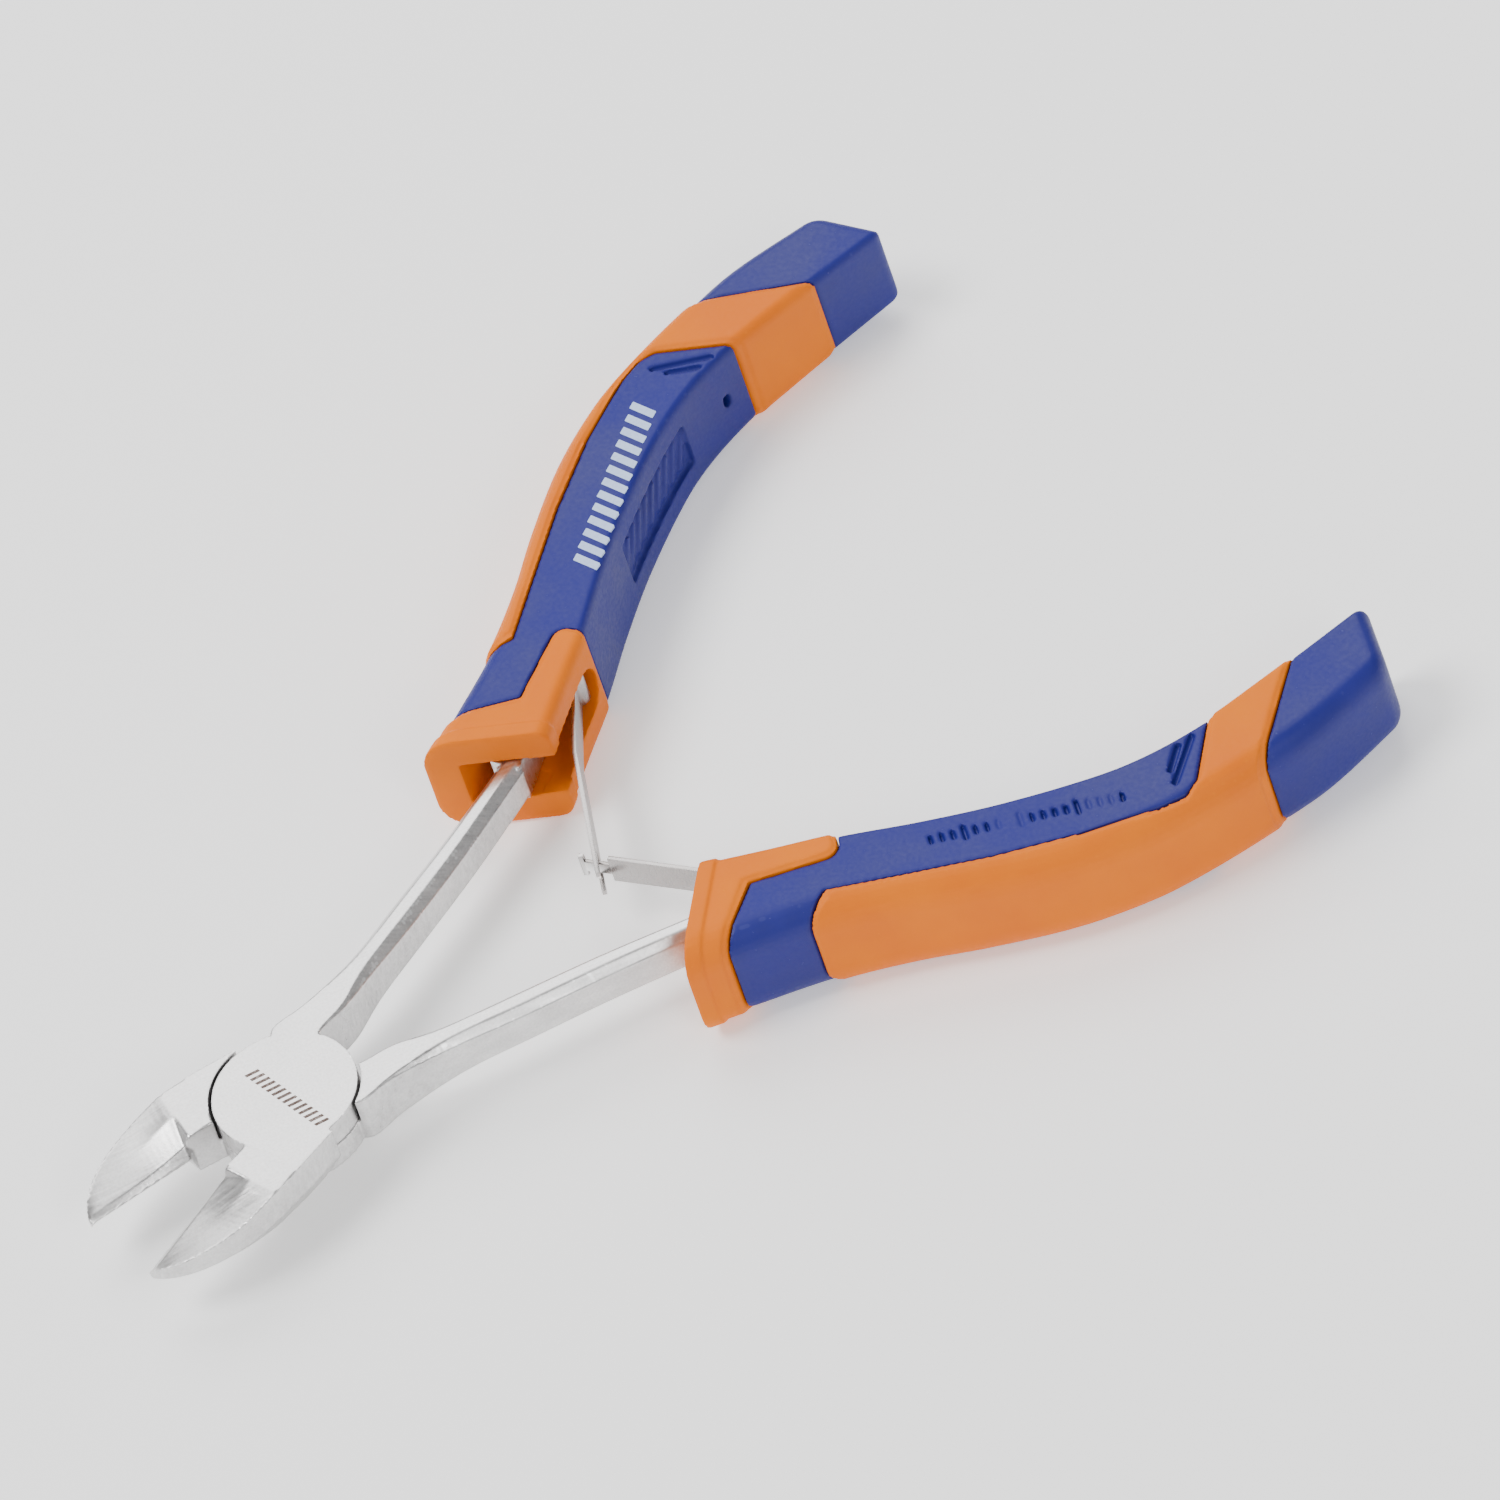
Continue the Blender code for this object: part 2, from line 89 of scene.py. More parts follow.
def read_curve(points: Curve, key: float) -> float:
    """Read a smooth curve through (key, value) points.

    Args:
        points: The curve's points, keys rising.
        key: Where to read it.

    Returns:
        The value at the key.
    """
    last = len(points) - 1
    index = 0
    while index < last - 1 and key > points[index + 1][0]:
        index += 1
    (x0, y0), (x1, y1) = points[index], points[index + 1]
    before = points[max(index - 1, 0)]
    after = points[min(index + 2, last)]
    slope0 = (y1 - before[1]) / (x1 - before[0])
    slope1 = (after[1] - y0) / (after[0] - x0)
    span = x1 - x0
    t = (key - x0) / span
    return ((2 * t ** 3 - 3 * t ** 2 + 1) * y0 + (t ** 3 - 2 * t ** 2 + t) * span * slope0
            + (3 * t ** 2 - 2 * t ** 3) * y1 + (t ** 3 - t ** 2) * span * slope1)


def spread(start: float, end: float, steps: int) -> list[float]:
    """Evenly spaced values from start to end, both included."""
    return [start + (end - start) * i / steps for i in range(steps + 1)]


@dataclass(frozen=True)
class Station:
    """One cross-section on the way along +Y: its place, centre, width and height (mm)."""

    y: float
    x: float
    width: float
    height: float


class Bench:
    """Modelling tools.  Work on the bench is in millimetres and set in place at the end."""

    MERGE = 0.0001
    NEAR = 0.001
    FACING = 0.9
    SOFTEN = 0.5
    RIM_STEPS = 3
    CORNER_STEPS = 5

    @staticmethod
    def only(*objects: bpy.types.Object) -> None:
        """Select these objects alone; the first becomes active.

        Args:
            objects: The objects to select.
        """
        if bpy.context.mode != "OBJECT":
            bpy.ops.object.mode_set(mode="OBJECT")
        bpy.ops.object.select_all(action="DESELECT")
        for obj in objects:
            obj.select_set(True)
        bpy.context.view_layer.objects.active = objects[0]

    @staticmethod
    def fresh(name: str) -> bpy.types.Object:
        """Name the primitive that was just added.

        Args:
            name: Its new name.

        Returns:
            The object.
        """
        obj = bpy.context.active_object
        obj.name = name
        obj.data.name = name
        return obj

    @classmethod
    def start_edit(cls, obj: bpy.types.Object, mode: str) -> None:
        """Enter edit mode with nothing selected.

        Args:
            obj: The object to edit.
            mode: VERT, EDGE or FACE.
        """
        cls.only(obj)
        bpy.ops.object.mode_set(mode="EDIT")
        bpy.ops.mesh.select_mode(type=mode)
        bpy.ops.mesh.select_all(action="DESELECT")
        bpy.ops.object.mode_set(mode="OBJECT")

    @classmethod
    def pick_faces(cls, obj: bpy.types.Object, wanted: Callable[[Vector, Vector], bool]) -> None:
        """Enter edit mode with the faces selected whose (centre, normal) pass a test.

        Args:
            obj: The object to edit.
            wanted: The test of a face's centre and normal.
        """
        cls.start_edit(obj, "FACE")
        for face in obj.data.polygons:
            face.select = wanted(face.center, face.normal)
        bpy.ops.object.mode_set(mode="EDIT")

    @classmethod
    def pick_edges(cls, obj: bpy.types.Object, wanted: Callable[[Vector, Vector], bool]) -> None:
        """Enter edit mode with the edges selected whose (middle, run) pass a test.

        Args:
            obj: The object to edit.
            wanted: The test of an edge's middle and run.
        """
        cls.start_edit(obj, "EDGE")
        points = obj.data.vertices
        for edge in obj.data.edges:
            a, b = (points[i].co for i in edge.vertices)
            edge.select = wanted((a + b) / 2, b - a)
        bpy.ops.object.mode_set(mode="EDIT")

    @staticmethod
    def done() -> None:
        """Leave edit mode."""
        bpy.ops.object.mode_set(mode="OBJECT")

    @classmethod
    def modify(cls, obj: bpy.types.Object, kind: str, **settings: object) -> None:
        """Add one modifier and apply it.

        Args:
            obj: The object to change.
            kind: The modifier's type.
            settings: Its settings by name.
        """
        cls.only(obj)
        mod = obj.modifiers.new(kind.lower(), kind)
        for key, value in settings.items():
            setattr(mod, key, value)
        bpy.ops.object.modifier_apply(modifier=mod.name)

    @classmethod
    def combine(cls, obj: bpy.types.Object, tool: bpy.types.Object, cut: Cut) -> None:
        """Combine a solid with a tool solid, which is used up."""
        cls.modify(obj, "BOOLEAN", object=tool, operation=cut.value, solver="EXACT")
        bpy.data.objects.remove(tool, do_unlink=True)

    @classmethod
    def set_in_place(cls, obj: bpy.types.Object, matrix: Matrix) -> None:
        """Move an object by a matrix and put its place into its mesh.

        Args:
            obj: The object to move.
            matrix: The move, in the world.
        """
        cls.only(obj)
        obj.matrix_world = matrix @ obj.matrix_world
        bpy.ops.object.transform_apply(location=True, rotation=True, scale=True)

    @classmethod
    def twin(cls, obj: bpy.types.Object, name: str) -> bpy.types.Object:
        """Copy an object with its own mesh.

        Args:
            obj: The object to copy.
            name: The copy's name.

        Returns:
            The copy.
        """
        cls.only(obj)
        bpy.ops.object.duplicate()
        return cls.fresh(name)

    @classmethod
    def outward(cls, obj: bpy.types.Object) -> None:
        """Merge doubles and point every face outwards.

        Args:
            obj: The object to clean.
        """
        cls.pick_faces(obj, lambda centre, normal: True)
        bpy.ops.mesh.remove_doubles(threshold=cls.MERGE)
        bpy.ops.mesh.normals_make_consistent(inside=False)
        cls.done()

    @classmethod
    def sweep(cls, name: str, stations: list[Station], rounds: Point,
              steps: int = 6, end_round: float = 0.0) -> bpy.types.Object:
        """Draw a bar along +Y through a row of cross-sections.

        Args:
            name: The bar's name.
            stations: Its cross-sections, in order of y.
            rounds: Corner radius along the low-x and the high-x edges.
            steps: Segments in each rounded corner.
            end_round: Radius around the far end.

        Returns:
            The bar.
        """
        first, second = stations[0], stations[1]
        length = (second.y - first.y) / 2
        bpy.ops.object.select_all(action="DESELECT")
        bpy.ops.mesh.primitive_cube_add(size=1, location=(first.x, first.y + length / 2, 0))
        bar = cls.fresh(name)
        bar.scale = (first.width, length, first.height)
        bpy.ops.object.transform_apply(location=True, rotation=True, scale=True)
        for side, radius in zip((-1, 1), rounds):
            if radius <= 0:
                continue
            cls.pick_edges(bar, lambda mid, run: abs(run.y) > length / 2 and (mid.x - first.x) * side > 0
                           and abs(abs(mid.z) - first.height / 2) < cls.NEAR)
            bpy.ops.mesh.bevel(offset=radius, segments=steps, affect="EDGES", profile=0.5)
            cls.done()
        cls.pick_faces(bar, lambda centre, normal: normal.y > cls.FACING)
        at = Station(first.y + length, first.x, first.width, first.height)
        for stop in stations[1:]:
            bpy.ops.mesh.extrude_region_move(
                TRANSFORM_OT_translate={"value": (stop.x - at.x, stop.y - at.y, 0)})
            bpy.ops.transform.resize(value=(stop.width / at.width, 1, stop.height / at.height),
                                     center_override=(stop.x, stop.y, 0))
            at = stop
        if end_round:
            bpy.ops.mesh.region_to_loop()
            bpy.ops.mesh.bevel(offset=end_round, segments=steps, affect="EDGES", profile=0.5)
        cls.done()
        return bar

    @classmethod
    def prism(cls, name: str, outline: Iterable[Point], low: float, high: float,
              corner: float = 0.0) -> bpy.types.Object:
        """Raise a flat outline into a prism.

        Args:
            name: The prism's name.
            outline: Its corners in order.
            low: Lower z.
            high: Upper z.
            corner: Radius of its upright corners.

        Returns:
            The prism.
        """
        points = list(outline)
        bpy.ops.object.select_all(action="DESELECT")
        bpy.ops.mesh.primitive_circle_add(vertices=len(points), radius=1, fill_type="NGON")
        obj = cls.fresh(name)
        for vertex, (x, y) in zip(obj.data.vertices, points):
            vertex.co = (x, y, low)
        cls.pick_faces(obj, lambda centre, normal: True)
        bpy.ops.mesh.extrude_region_move(TRANSFORM_OT_translate={"value": (0, 0, high - low)})
        bpy.ops.mesh.select_all(action="SELECT")
        bpy.ops.mesh.normals_make_consistent(inside=False)
        cls.done()
        if corner:
            cls.pick_edges(obj, lambda mid, run: abs(run.z) > (high - low) / 2)
            bpy.ops.mesh.bevel(offset=corner, segments=cls.CORNER_STEPS, affect="EDGES", profile=0.5)
            cls.done()
        return obj

    @classmethod
    def rod(cls, name: str, radius: float, low: float, high: float, vertices: int = 96,
            edge: float = 0.0, at: Point = (0.0, 0.0)) -> bpy.types.Object:
        """An upright round bar with softened rims.

        Args:
            name: The bar's name.
            radius: Its radius.
            low: Lower z.
            high: Upper z.
            vertices: Sides around it.
            edge: Radius of its rims.
            at: Its axis in plan.

        Returns:
            The bar.
        """
        bpy.ops.object.select_all(action="DESELECT")
        bpy.ops.mesh.primitive_cylinder_add(vertices=vertices, radius=radius, depth=high - low,
                                            location=(at[0], at[1], (low + high) / 2))
        obj = cls.fresh(name)
        bpy.ops.object.transform_apply(location=True, rotation=True, scale=True)
        if edge:
            cls.pick_faces(obj, lambda centre, normal: abs(normal.z) > cls.FACING)
            bpy.ops.mesh.region_to_loop()
            bpy.ops.mesh.bevel(offset=edge, segments=cls.RIM_STEPS, affect="EDGES", profile=0.5)
            cls.done()
        return obj

    @classmethod
    def skin(cls, name: str, rings: list[list[Place]]) -> bpy.types.Object:
        """Skin a bar whose cross-section changes shape: extrude a face from ring to ring.

        Args:
            name: The bar's name.
            rings: Its cross-sections, each with the same number of corners.

        Returns:
            The bar.
        """
        bpy.ops.object.select_all(action="DESELECT")
        bpy.ops.mesh.primitive_circle_add(vertices=len(rings[0]), radius=1, fill_type="NGON")
        bar = cls.fresh(name)
        for vertex, place in zip(bar.data.vertices, rings[0]):
            vertex.co = place
        cls.pick_faces(bar, lambda centre, normal: True)
        for ring in rings[1:]:
            bpy.ops.mesh.extrude_region_move(TRANSFORM_OT_translate={"value": (0, 0, 1)})
            cls.done()
            cap = next(face for face in bar.data.polygons if face.select)
            for index, place in zip(cap.vertices, ring):
                bar.data.vertices[index].co = place
            bpy.ops.object.mode_set(mode="EDIT")
        cls.done()
        cls.outward(bar)
        return bar

    @classmethod
    def mould(cls, obj: bpy.types.Object, grain: float, passes: int) -> None:
        """Turn a cut solid into one even moulded skin with softly rounded edges."""
        cls.modify(obj, "REMESH", mode="VOXEL", voxel_size=grain, adaptivity=0.0)
        cls.modify(obj, "SMOOTH", factor=cls.SOFTEN, iterations=passes)

    @classmethod
    def smooth(cls, obj: bpy.types.Object, degrees: float) -> None:
        """Shade an object smooth except across edges sharper than an angle."""
        cls.only(obj)
        bpy.ops.object.shade_smooth_by_angle(angle=math.radians(degrees))


@dataclass(frozen=True)
class Plan:
    """Where the pieces stand: the half-turn axis and the slant of each frame."""

    mid_z: float = sum(corner.z for corner in map(Vector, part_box("lever_lower"))) / 2
    open_half: float = math.radians(11.5)
    grip_angle: float = math.radians(24.8)

    def table(self) -> Matrix:
        """From bench millimetres about the mid plane to metres in the frame."""
        return Matrix.Translation((0, 0, self.mid_z)) @ Matrix.Scale(MM, 4)

    def grip(self) -> Matrix:
        """From the +X grip's own frame (x outward, y along) to the frame."""
        return self.table() @ Matrix.Rotation(-self.grip_angle, 4, "Z")

    def turn_over(self) -> Matrix:
        """Half a turn about the tool's long axis."""
        lift = Matrix.Translation((0, 0, self.mid_z))
        return lift @ Matrix.Rotation(math.pi, 4, "Y") @ lift.inverted()


PLAN = Plan()


class Shader:
    """Builds one procedural material out of object-space textures."""

    def __init__(self, name: str) -> None:
        """Start a material with a plain Principled surface.

        Args:
            name: The material's name.
        """
        self.material = bpy.data.materials.new(name)
        self.material.use_nodes = True
        self.tree = self.material.node_tree
        self.surface = self.tree.nodes["Principled BSDF"]
        self.place = self.tree.nodes.new("ShaderNodeTexCoord").outputs["Object"]

    def node(self, kind: str, **inputs: object) -> bpy.types.Node:
        """Add a node and set or link its inputs, named with _ for a space.

        Args:
            kind: The node's type.
            inputs: Constants or outputs by input name.

        Returns:
            The node.
        """
        node = self.tree.nodes.new(kind)
        for key, value in inputs.items():
            self.feed(node.inputs[key.replace("_", " ")], value)
        return node

    def feed(self, socket: bpy.types.NodeSocket, value: object) -> None:
        """Link an output to a socket, or set the socket's constant.

        Args:
            socket: The input.
            value: An output or a constant.
        """
        if isinstance(value, bpy.types.NodeSocket):
            self.tree.links.new(value, socket)
        else:
            socket.default_value = value

    def stretched(self, scale: Place, turn: float = 0.0) -> bpy.types.NodeSocket:
        """Object coordinates turned about Z and stretched.

        Args:
            scale: Features per metre along each turned axis.
            turn: Angle of the grain about Z.

        Returns:
            The stretched coordinates.
        """
        spun = self.node("ShaderNodeMapping", Vector=self.place, Rotation=(0, 0, turn))
        return self.node("ShaderNodeMapping", Vector=spun.outputs[0], Scale=scale).outputs[0]

    def noise(self, place: bpy.types.NodeSocket, scale: float, detail: float = 3.0) -> bpy.types.NodeSocket:
        """Cloudy noise from 0 to 1."""
        return self.node("ShaderNodeTexNoise", Vector=place, Scale=scale, Detail=detail).outputs[0]

    def between(self, value: bpy.types.NodeSocket, start: float, end: float,
                low: float, high: float) -> bpy.types.NodeSocket:
        """Stretch a value's range start…end to low…high, held at both ends."""
        return self.node("ShaderNodeMapRange", Value=value, From_Min=start, From_Max=end,
                         To_Min=low, To_Max=high).outputs[0]

    def tint(self, share: bpy.types.NodeSocket, first: object, second: object) -> bpy.types.NodeSocket:
        """Blend two colours by a share.

        Args:
            share: Share of the second colour.
            first: Colour at a share of 0.
            second: Colour at a share of 1.

        Returns:
            The blended colour.
        """
        node = self.tree.nodes.new("ShaderNodeMix")
        node.data_type = "RGBA"
        self.feed(node.inputs[0], share)
        self.feed(node.inputs[6], first if isinstance(first, bpy.types.NodeSocket) else (*first, 1.0))
        self.feed(node.inputs[7], second if isinstance(second, bpy.types.NodeSocket) else (*second, 1.0))
        return node.outputs[2]

    def total(self, *values: bpy.types.NodeSocket) -> bpy.types.NodeSocket:
        """Add values up.

        Args:
            values: The outputs to add.

        Returns:
            Their sum.
        """
        result = values[0]
        for value in values[1:]:
            node = self.tree.nodes.new("ShaderNodeMath")
            node.operation = "ADD"
            self.feed(node.inputs[0], result)
            self.feed(node.inputs[1], value)
            result = node.outputs[0]
        return result

    def edges(self, start: float, end: float) -> bpy.types.NodeSocket:
        """How far a spot is on a raised edge, from 0 to 1."""
        bend = self.tree.nodes.new("ShaderNodeNewGeometry").outputs["Pointiness"]
        return self.between(bend, start, end, 0.0, 1.0)

    def relief(self, *layers: tuple[bpy.types.NodeSocket, float]) -> None:
        """Bump the surface with (height, depth in millimetres) layers.

        Args:
            layers: Height and depth of each layer.
        """
        normal = None
        for height, depth in layers:
            node = self.node("ShaderNodeBump", Height=height, Distance=depth * MM, Strength=1.0)
            if normal is not None:
                self.feed(node.inputs["Normal"], normal)
            normal = node.outputs[0]
        self.feed(self.surface.inputs["Normal"], normal)

    def surface_of(self, **inputs: object) -> bpy.types.Material:
        """Set the surface's inputs, named with _ for a space, and hand over the material.

        Args:
            inputs: Constants or outputs by input name.

        Returns:
            The material.
        """
        for key, value in inputs.items():
            if key == "Base_Color" and not isinstance(value, bpy.types.NodeSocket):
                value = (*value, 1.0)
            self.feed(self.surface.inputs[key.replace("_", " ")], value)
        return self.material


@dataclass(frozen=True)
class Steel:
    """Ground steel: fine lines one way, a mottled satin under them, painted shade in its hollows and
    lighter edges that are partly worn, partly a painted highlight.
    """

    name: str
    slot: str
    dark: Colour = (0.45, 0.44, 0.44)
    light: Colour = (0.83, 0.825, 0.82)
    rough: Point = (0.28, 0.42)
    # Colour of the painted shade in hollows and the throat.
    painted_hollow_shade: Colour = (0.16, 0.13, 0.11)
    # Colour of the lighter edges: partly real wear, partly a painted highlight.
    rubbed_edge_highlight: Colour = (0.88, 0.88, 0.88)
    line_turn: float = 0.0
    line_depth: float = 0.004
    lines: float = 5000.0
    line_run: Point = (90.0, 900.0)
    grain: float = 4200.0
    grain_depth: float = 1.5
    cloud: float = 160.0
    shares: tuple[float, float, float] = (0.35, 0.3, 0.35)
    scatter: Point = (-0.05, 0.06)
    hollow: Point = (0.47, 0.41)
    rim: Point = (0.54, 0.66)

    def make(self) -> bpy.types.Material:
        """Build the material.

        Returns:
            The material.
        """
        shader = Shader(self.name)
        brushed = shader.stretched((self.lines, *self.line_run), self.line_turn)
        lines = shader.noise(brushed, 1.0, detail=4.0)
        grain = shader.noise(shader.place, self.grain, detail=4.0)
        cloud = shader.noise(shader.place, self.cloud)
        mix = shader.total(*(shader.between(value, *NOISE_RANGE, 0.0, share)
                             for value, share in zip((lines, grain, cloud), self.shares)))
        colour = shader.tint(mix, self.dark, self.light)
        # Painted shade: concave spots (low pointiness) are darkened towards brown-grey, standing in for
        # shade in hollows and the throat.
        shaded_in_hollows = shader.tint(shader.edges(*self.hollow), colour, self.painted_hollow_shade)
        # Lighter colour on raised edges (high pointiness): partly real edge wear, partly a painted
        # highlight on the chamfers.
        worn = shader.tint(shader.edges(*self.rim), shaded_in_hollows, self.rubbed_edge_highlight)
        rough = shader.total(shader.between(cloud, *NOISE_RANGE, *self.rough),
                             shader.between(lines, *NOISE_RANGE, *self.scatter))
        shader.relief((lines, self.line_depth), (grain, self.line_depth * self.grain_depth))
        return shader.surface_of(Base_Color=worn, Metallic=1.0, Roughness=rough)


@dataclass(frozen=True)
class Plastic:
    """Moulded plastic with a fine eroded grain and dusty specks."""

    name: str
    slot: str
    colour: Colour
    shade: Colour
    speck: Colour
    rough: Point = (0.42, 0.56)
    grain_depth: float = 0.012
    gloss: float = 0.3
    speck_start: float = 0.70
    speck_band: float = 0.06
    speck_share: float = 0.5
    grain: float = 2600.0
    pits: float = 900.0
    cloud: float = 120.0
    scatter: Point = (-0.06, 0.06)
    rim: Point = (0.55, 0.70)
    rim_share: float = 0.2

    def make(self) -> bpy.types.Material:
        """Build the material.

        Returns:
            The material.
        """
        shader = Shader(self.name)
        grain = shader.noise(shader.place, self.grain)
        pits = shader.noise(shader.place, self.pits, detail=2.0)
        cloud = shader.noise(shader.place, self.cloud)
        colour = shader.tint(shader.between(cloud, *CLOUD_RANGE, 0.0, 1.0), self.shade, self.colour)
        specks = shader.between(grain, self.speck_start, self.speck_start + self.speck_band,
                                0.0, self.speck_share)
        dusty = shader.tint(specks, colour, self.speck)
        rim = shader.between(shader.edges(*self.rim), 0.0, 1.0, 0.0, self.rim_share)
        worn = shader.tint(rim, dusty, self.speck)
        rough = shader.total(shader.between(cloud, *CLOUD_RANGE, *self.rough),
                             shader.between(grain, *NOISE_RANGE, *self.scatter))
        shader.relief((pits, self.grain_depth), (grain, self.grain_depth))
        return shader.surface_of(Base_Color=worn, Roughness=rough, Specular_IOR_Level=self.gloss)


@dataclass(frozen=True)
class Ink:
    """A thin printed or burnt-in coat, broken up by the ground it lies on."""

    name: str
    slot: str
    colour: Colour
    worn: Colour
    metallic: float = 0.0
    grain: float = 3800.0
    grain_depth: float = 0.004
    cloud: float = 500.0
    broken: Point = (0.45, 0.75)
    rough: Point = (0.4, 0.6)

    def make(self) -> bpy.types.Material:
        """Build the material.

        Returns:
            The material.
        """
        shader = Shader(self.name)
        grain = shader.noise(shader.place, self.grain)
        cloud = shader.noise(shader.place, self.cloud, detail=2.0)
        colour = shader.tint(shader.between(grain, *self.broken, 0.0, 1.0), self.colour, self.worn)
        rough = shader.between(cloud, *NOISE_RANGE, *self.rough)
        shader.relief((grain, self.grain_depth))
        return shader.surface_of(Base_Color=colour, Roughness=rough, Metallic=self.metallic)


Finish = Steel | Plastic | Ink

TOOL_STEEL = Steel("satin tool steel", "tool_steel", line_turn=math.radians(20))
RIVET_STEEL = Steel("rivet steel", "rivet_steel", dark=(0.5, 0.49, 0.48), light=(0.68, 0.67, 0.66))
SPRING_STEEL = Steel("spring strip", "spring_steel", dark=(0.28, 0.26, 0.25), light=(0.44, 0.41, 0.40),
                     rough=(0.24, 0.34), lines=9000.0, line_depth=0.002)
HARD_BLUE = Plastic("hard blue", "hard_blue", colour=(0.014, 0.016, 0.205), shade=(0.011, 0.013, 0.17),
                    speck=(0.07, 0.08, 0.30))
SOFT_ORANGE = Plastic("soft orange", "soft_orange", colour=(0.84, 0.195, 0.001), shade=(0.78, 0.165, 0.001),
                      speck=(0.90, 0.27, 0.01), rough=(0.46, 0.60), gloss=0.12, speck_start=0.72)
PALE_PRINT = Ink("pale print", "hard_blue", colour=(0.52, 0.66, 0.95), worn=(0.44, 0.56, 0.88))
BURNT_MARK = Ink("burnt mark", "tool_steel", colour=(0.09, 0.055, 0.045), worn=(0.30, 0.25, 0.23),
                 metallic=0.4)


def show(obj: bpy.types.Object, body: Body, finish: Finish, *nodes: str) -> None:
    """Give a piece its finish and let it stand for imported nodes.

    Args:
        obj: The piece, in place.
        body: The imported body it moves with.
        finish: Its finish.
        nodes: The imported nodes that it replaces.
    """
    made = bpy.data.materials.get(finish.name) or finish.make()
    obj.data.materials.clear()
    obj.data.materials.append(made)
    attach(obj, body.value)
    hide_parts(*nodes)
    LOG.info("%-22s %7d faces, %s, on %s", obj.name, len(obj.data.polygons), finish.name, body.value)


@dataclass(frozen=True)
class GripShape:
    """The outside of the +X grip in its own frame: x outward, y along it, z up (mm)."""

    inner: Curve = ((34, -7.3), (41, -6.3), (47, -5.3), (53, -4.4), (60, -2.9), (67.5, -1.7),
                    (76.5, -1.1), (81.5, -1.6), (86.7, -3.0), (91, -4.8), (95.5, -6.8), (103, -10.2))
    outer: Curve = ((34, 3.6), (41, 3.5), (49, 3.5), (56, 4.4), (62, 5.7), (70, 6.9),
                    (77, 6.8), (82, 5.9), (89, 4.0), (95, 2.0), (103, -2.6))
    half: Curve = ((34, 5.2), (60, 5.2), (82, 5.1), (103, 4.6))
    start: float = 34.0
    end: float = 103.0
    steps: int = 60
    rounds: Point = (0.9, 2.6)
    end_round: float = 1.3
    least_round: float = 0.3

    def solid(self, name: str, grow: float = 0.0) -> bpy.types.Object:
        """The whole grip, grown all round by an offset.

        Args:
            name: The solid's name.
            grow: How far it stands off the plain shape.

        Returns:
            The solid.
        """
        stations = []
        for y in spread(self.start, self.end, self.steps):
            low, high = read_curve(self.inner, y), read_curve(self.outer, y)
            stations.append(Station(y + grow * (y - self.start) / (self.end - self.start), (low + high) / 2,
                                    high - low + 2 * grow, 2 * (read_curve(self.half, y) + grow)))
        rounds = tuple(max(radius + grow, self.least_round) for radius in self.rounds)
        return Bench.sweep(name, stations, rounds, end_round=self.end_round)

    def top(self, y: float) -> float:
        """Height of the flat top at a place along the grip."""
        return read_curve(self.half, y)


SHAPE = GripShape()
REGION_HALF = 9.0
TANG_MIDDLE: Curve = ((39.0, -2.6), (46, -1.3), (60, 1.2), (72.0, 2.7))
TANG_HALF = 1.5
TANG_STEPS = 10
TANG_GAP = 0.12


def region(name: str, outline: Iterable[Point], corner: float = 0.0) -> bpy.types.Object:
    """An upright cutter through the grip from an outline in (along, outward) points."""
    return Bench.prism(name, [(v, u) for u, v in outline], -REGION_HALF, REGION_HALF, corner)


def tang_outline(clear: float) -> list[Point]:
    """Outline of the tang in (outward, along) points, grown by a clearance.

    Args:
        clear: Clearance all round (mm).

    Returns:
        Its corners in order.
    """
    keys = spread(TANG_MIDDLE[0][0] - clear, TANG_MIDDLE[-1][0] + clear, TANG_STEPS)
    half = TANG_HALF + clear
    low = [(read_curve(TANG_MIDDLE, u) - half, u) for u in keys]
    return low + [(read_curve(TANG_MIDDLE, u) + half, u) for u in reversed(keys)]


@dataclass(frozen=True)
class Slot:
    """The slot that a spring leaf folds into, open at the inner side and round at its end."""

    half: float = 2.4
    end: float = 52.0
    floor: float = -1.9
    start: float = 30.0
    open_at: float = -14.0
    sides: int = 48

    def cutter(self) -> bpy.types.Object:
        """A tool that cuts the slot.

        Returns:
            The tool.
        """
        stop = self.end - self.half
        box = Bench.prism("slot", [(self.open_at, self.start), (self.floor, self.start),
                                   (self.floor, stop), (self.open_at, stop)], -self.half, self.half)
        nose = Bench.rod("slot_nose", self.half, self.open_at, self.floor, self.sides)
        Bench.set_in_place(nose, Matrix.Translation((0, stop, 0)) @ Matrix.Rotation(math.pi / 2, 4, "Y"))
        Bench.combine(box, nose, Cut.JOIN)
        return box


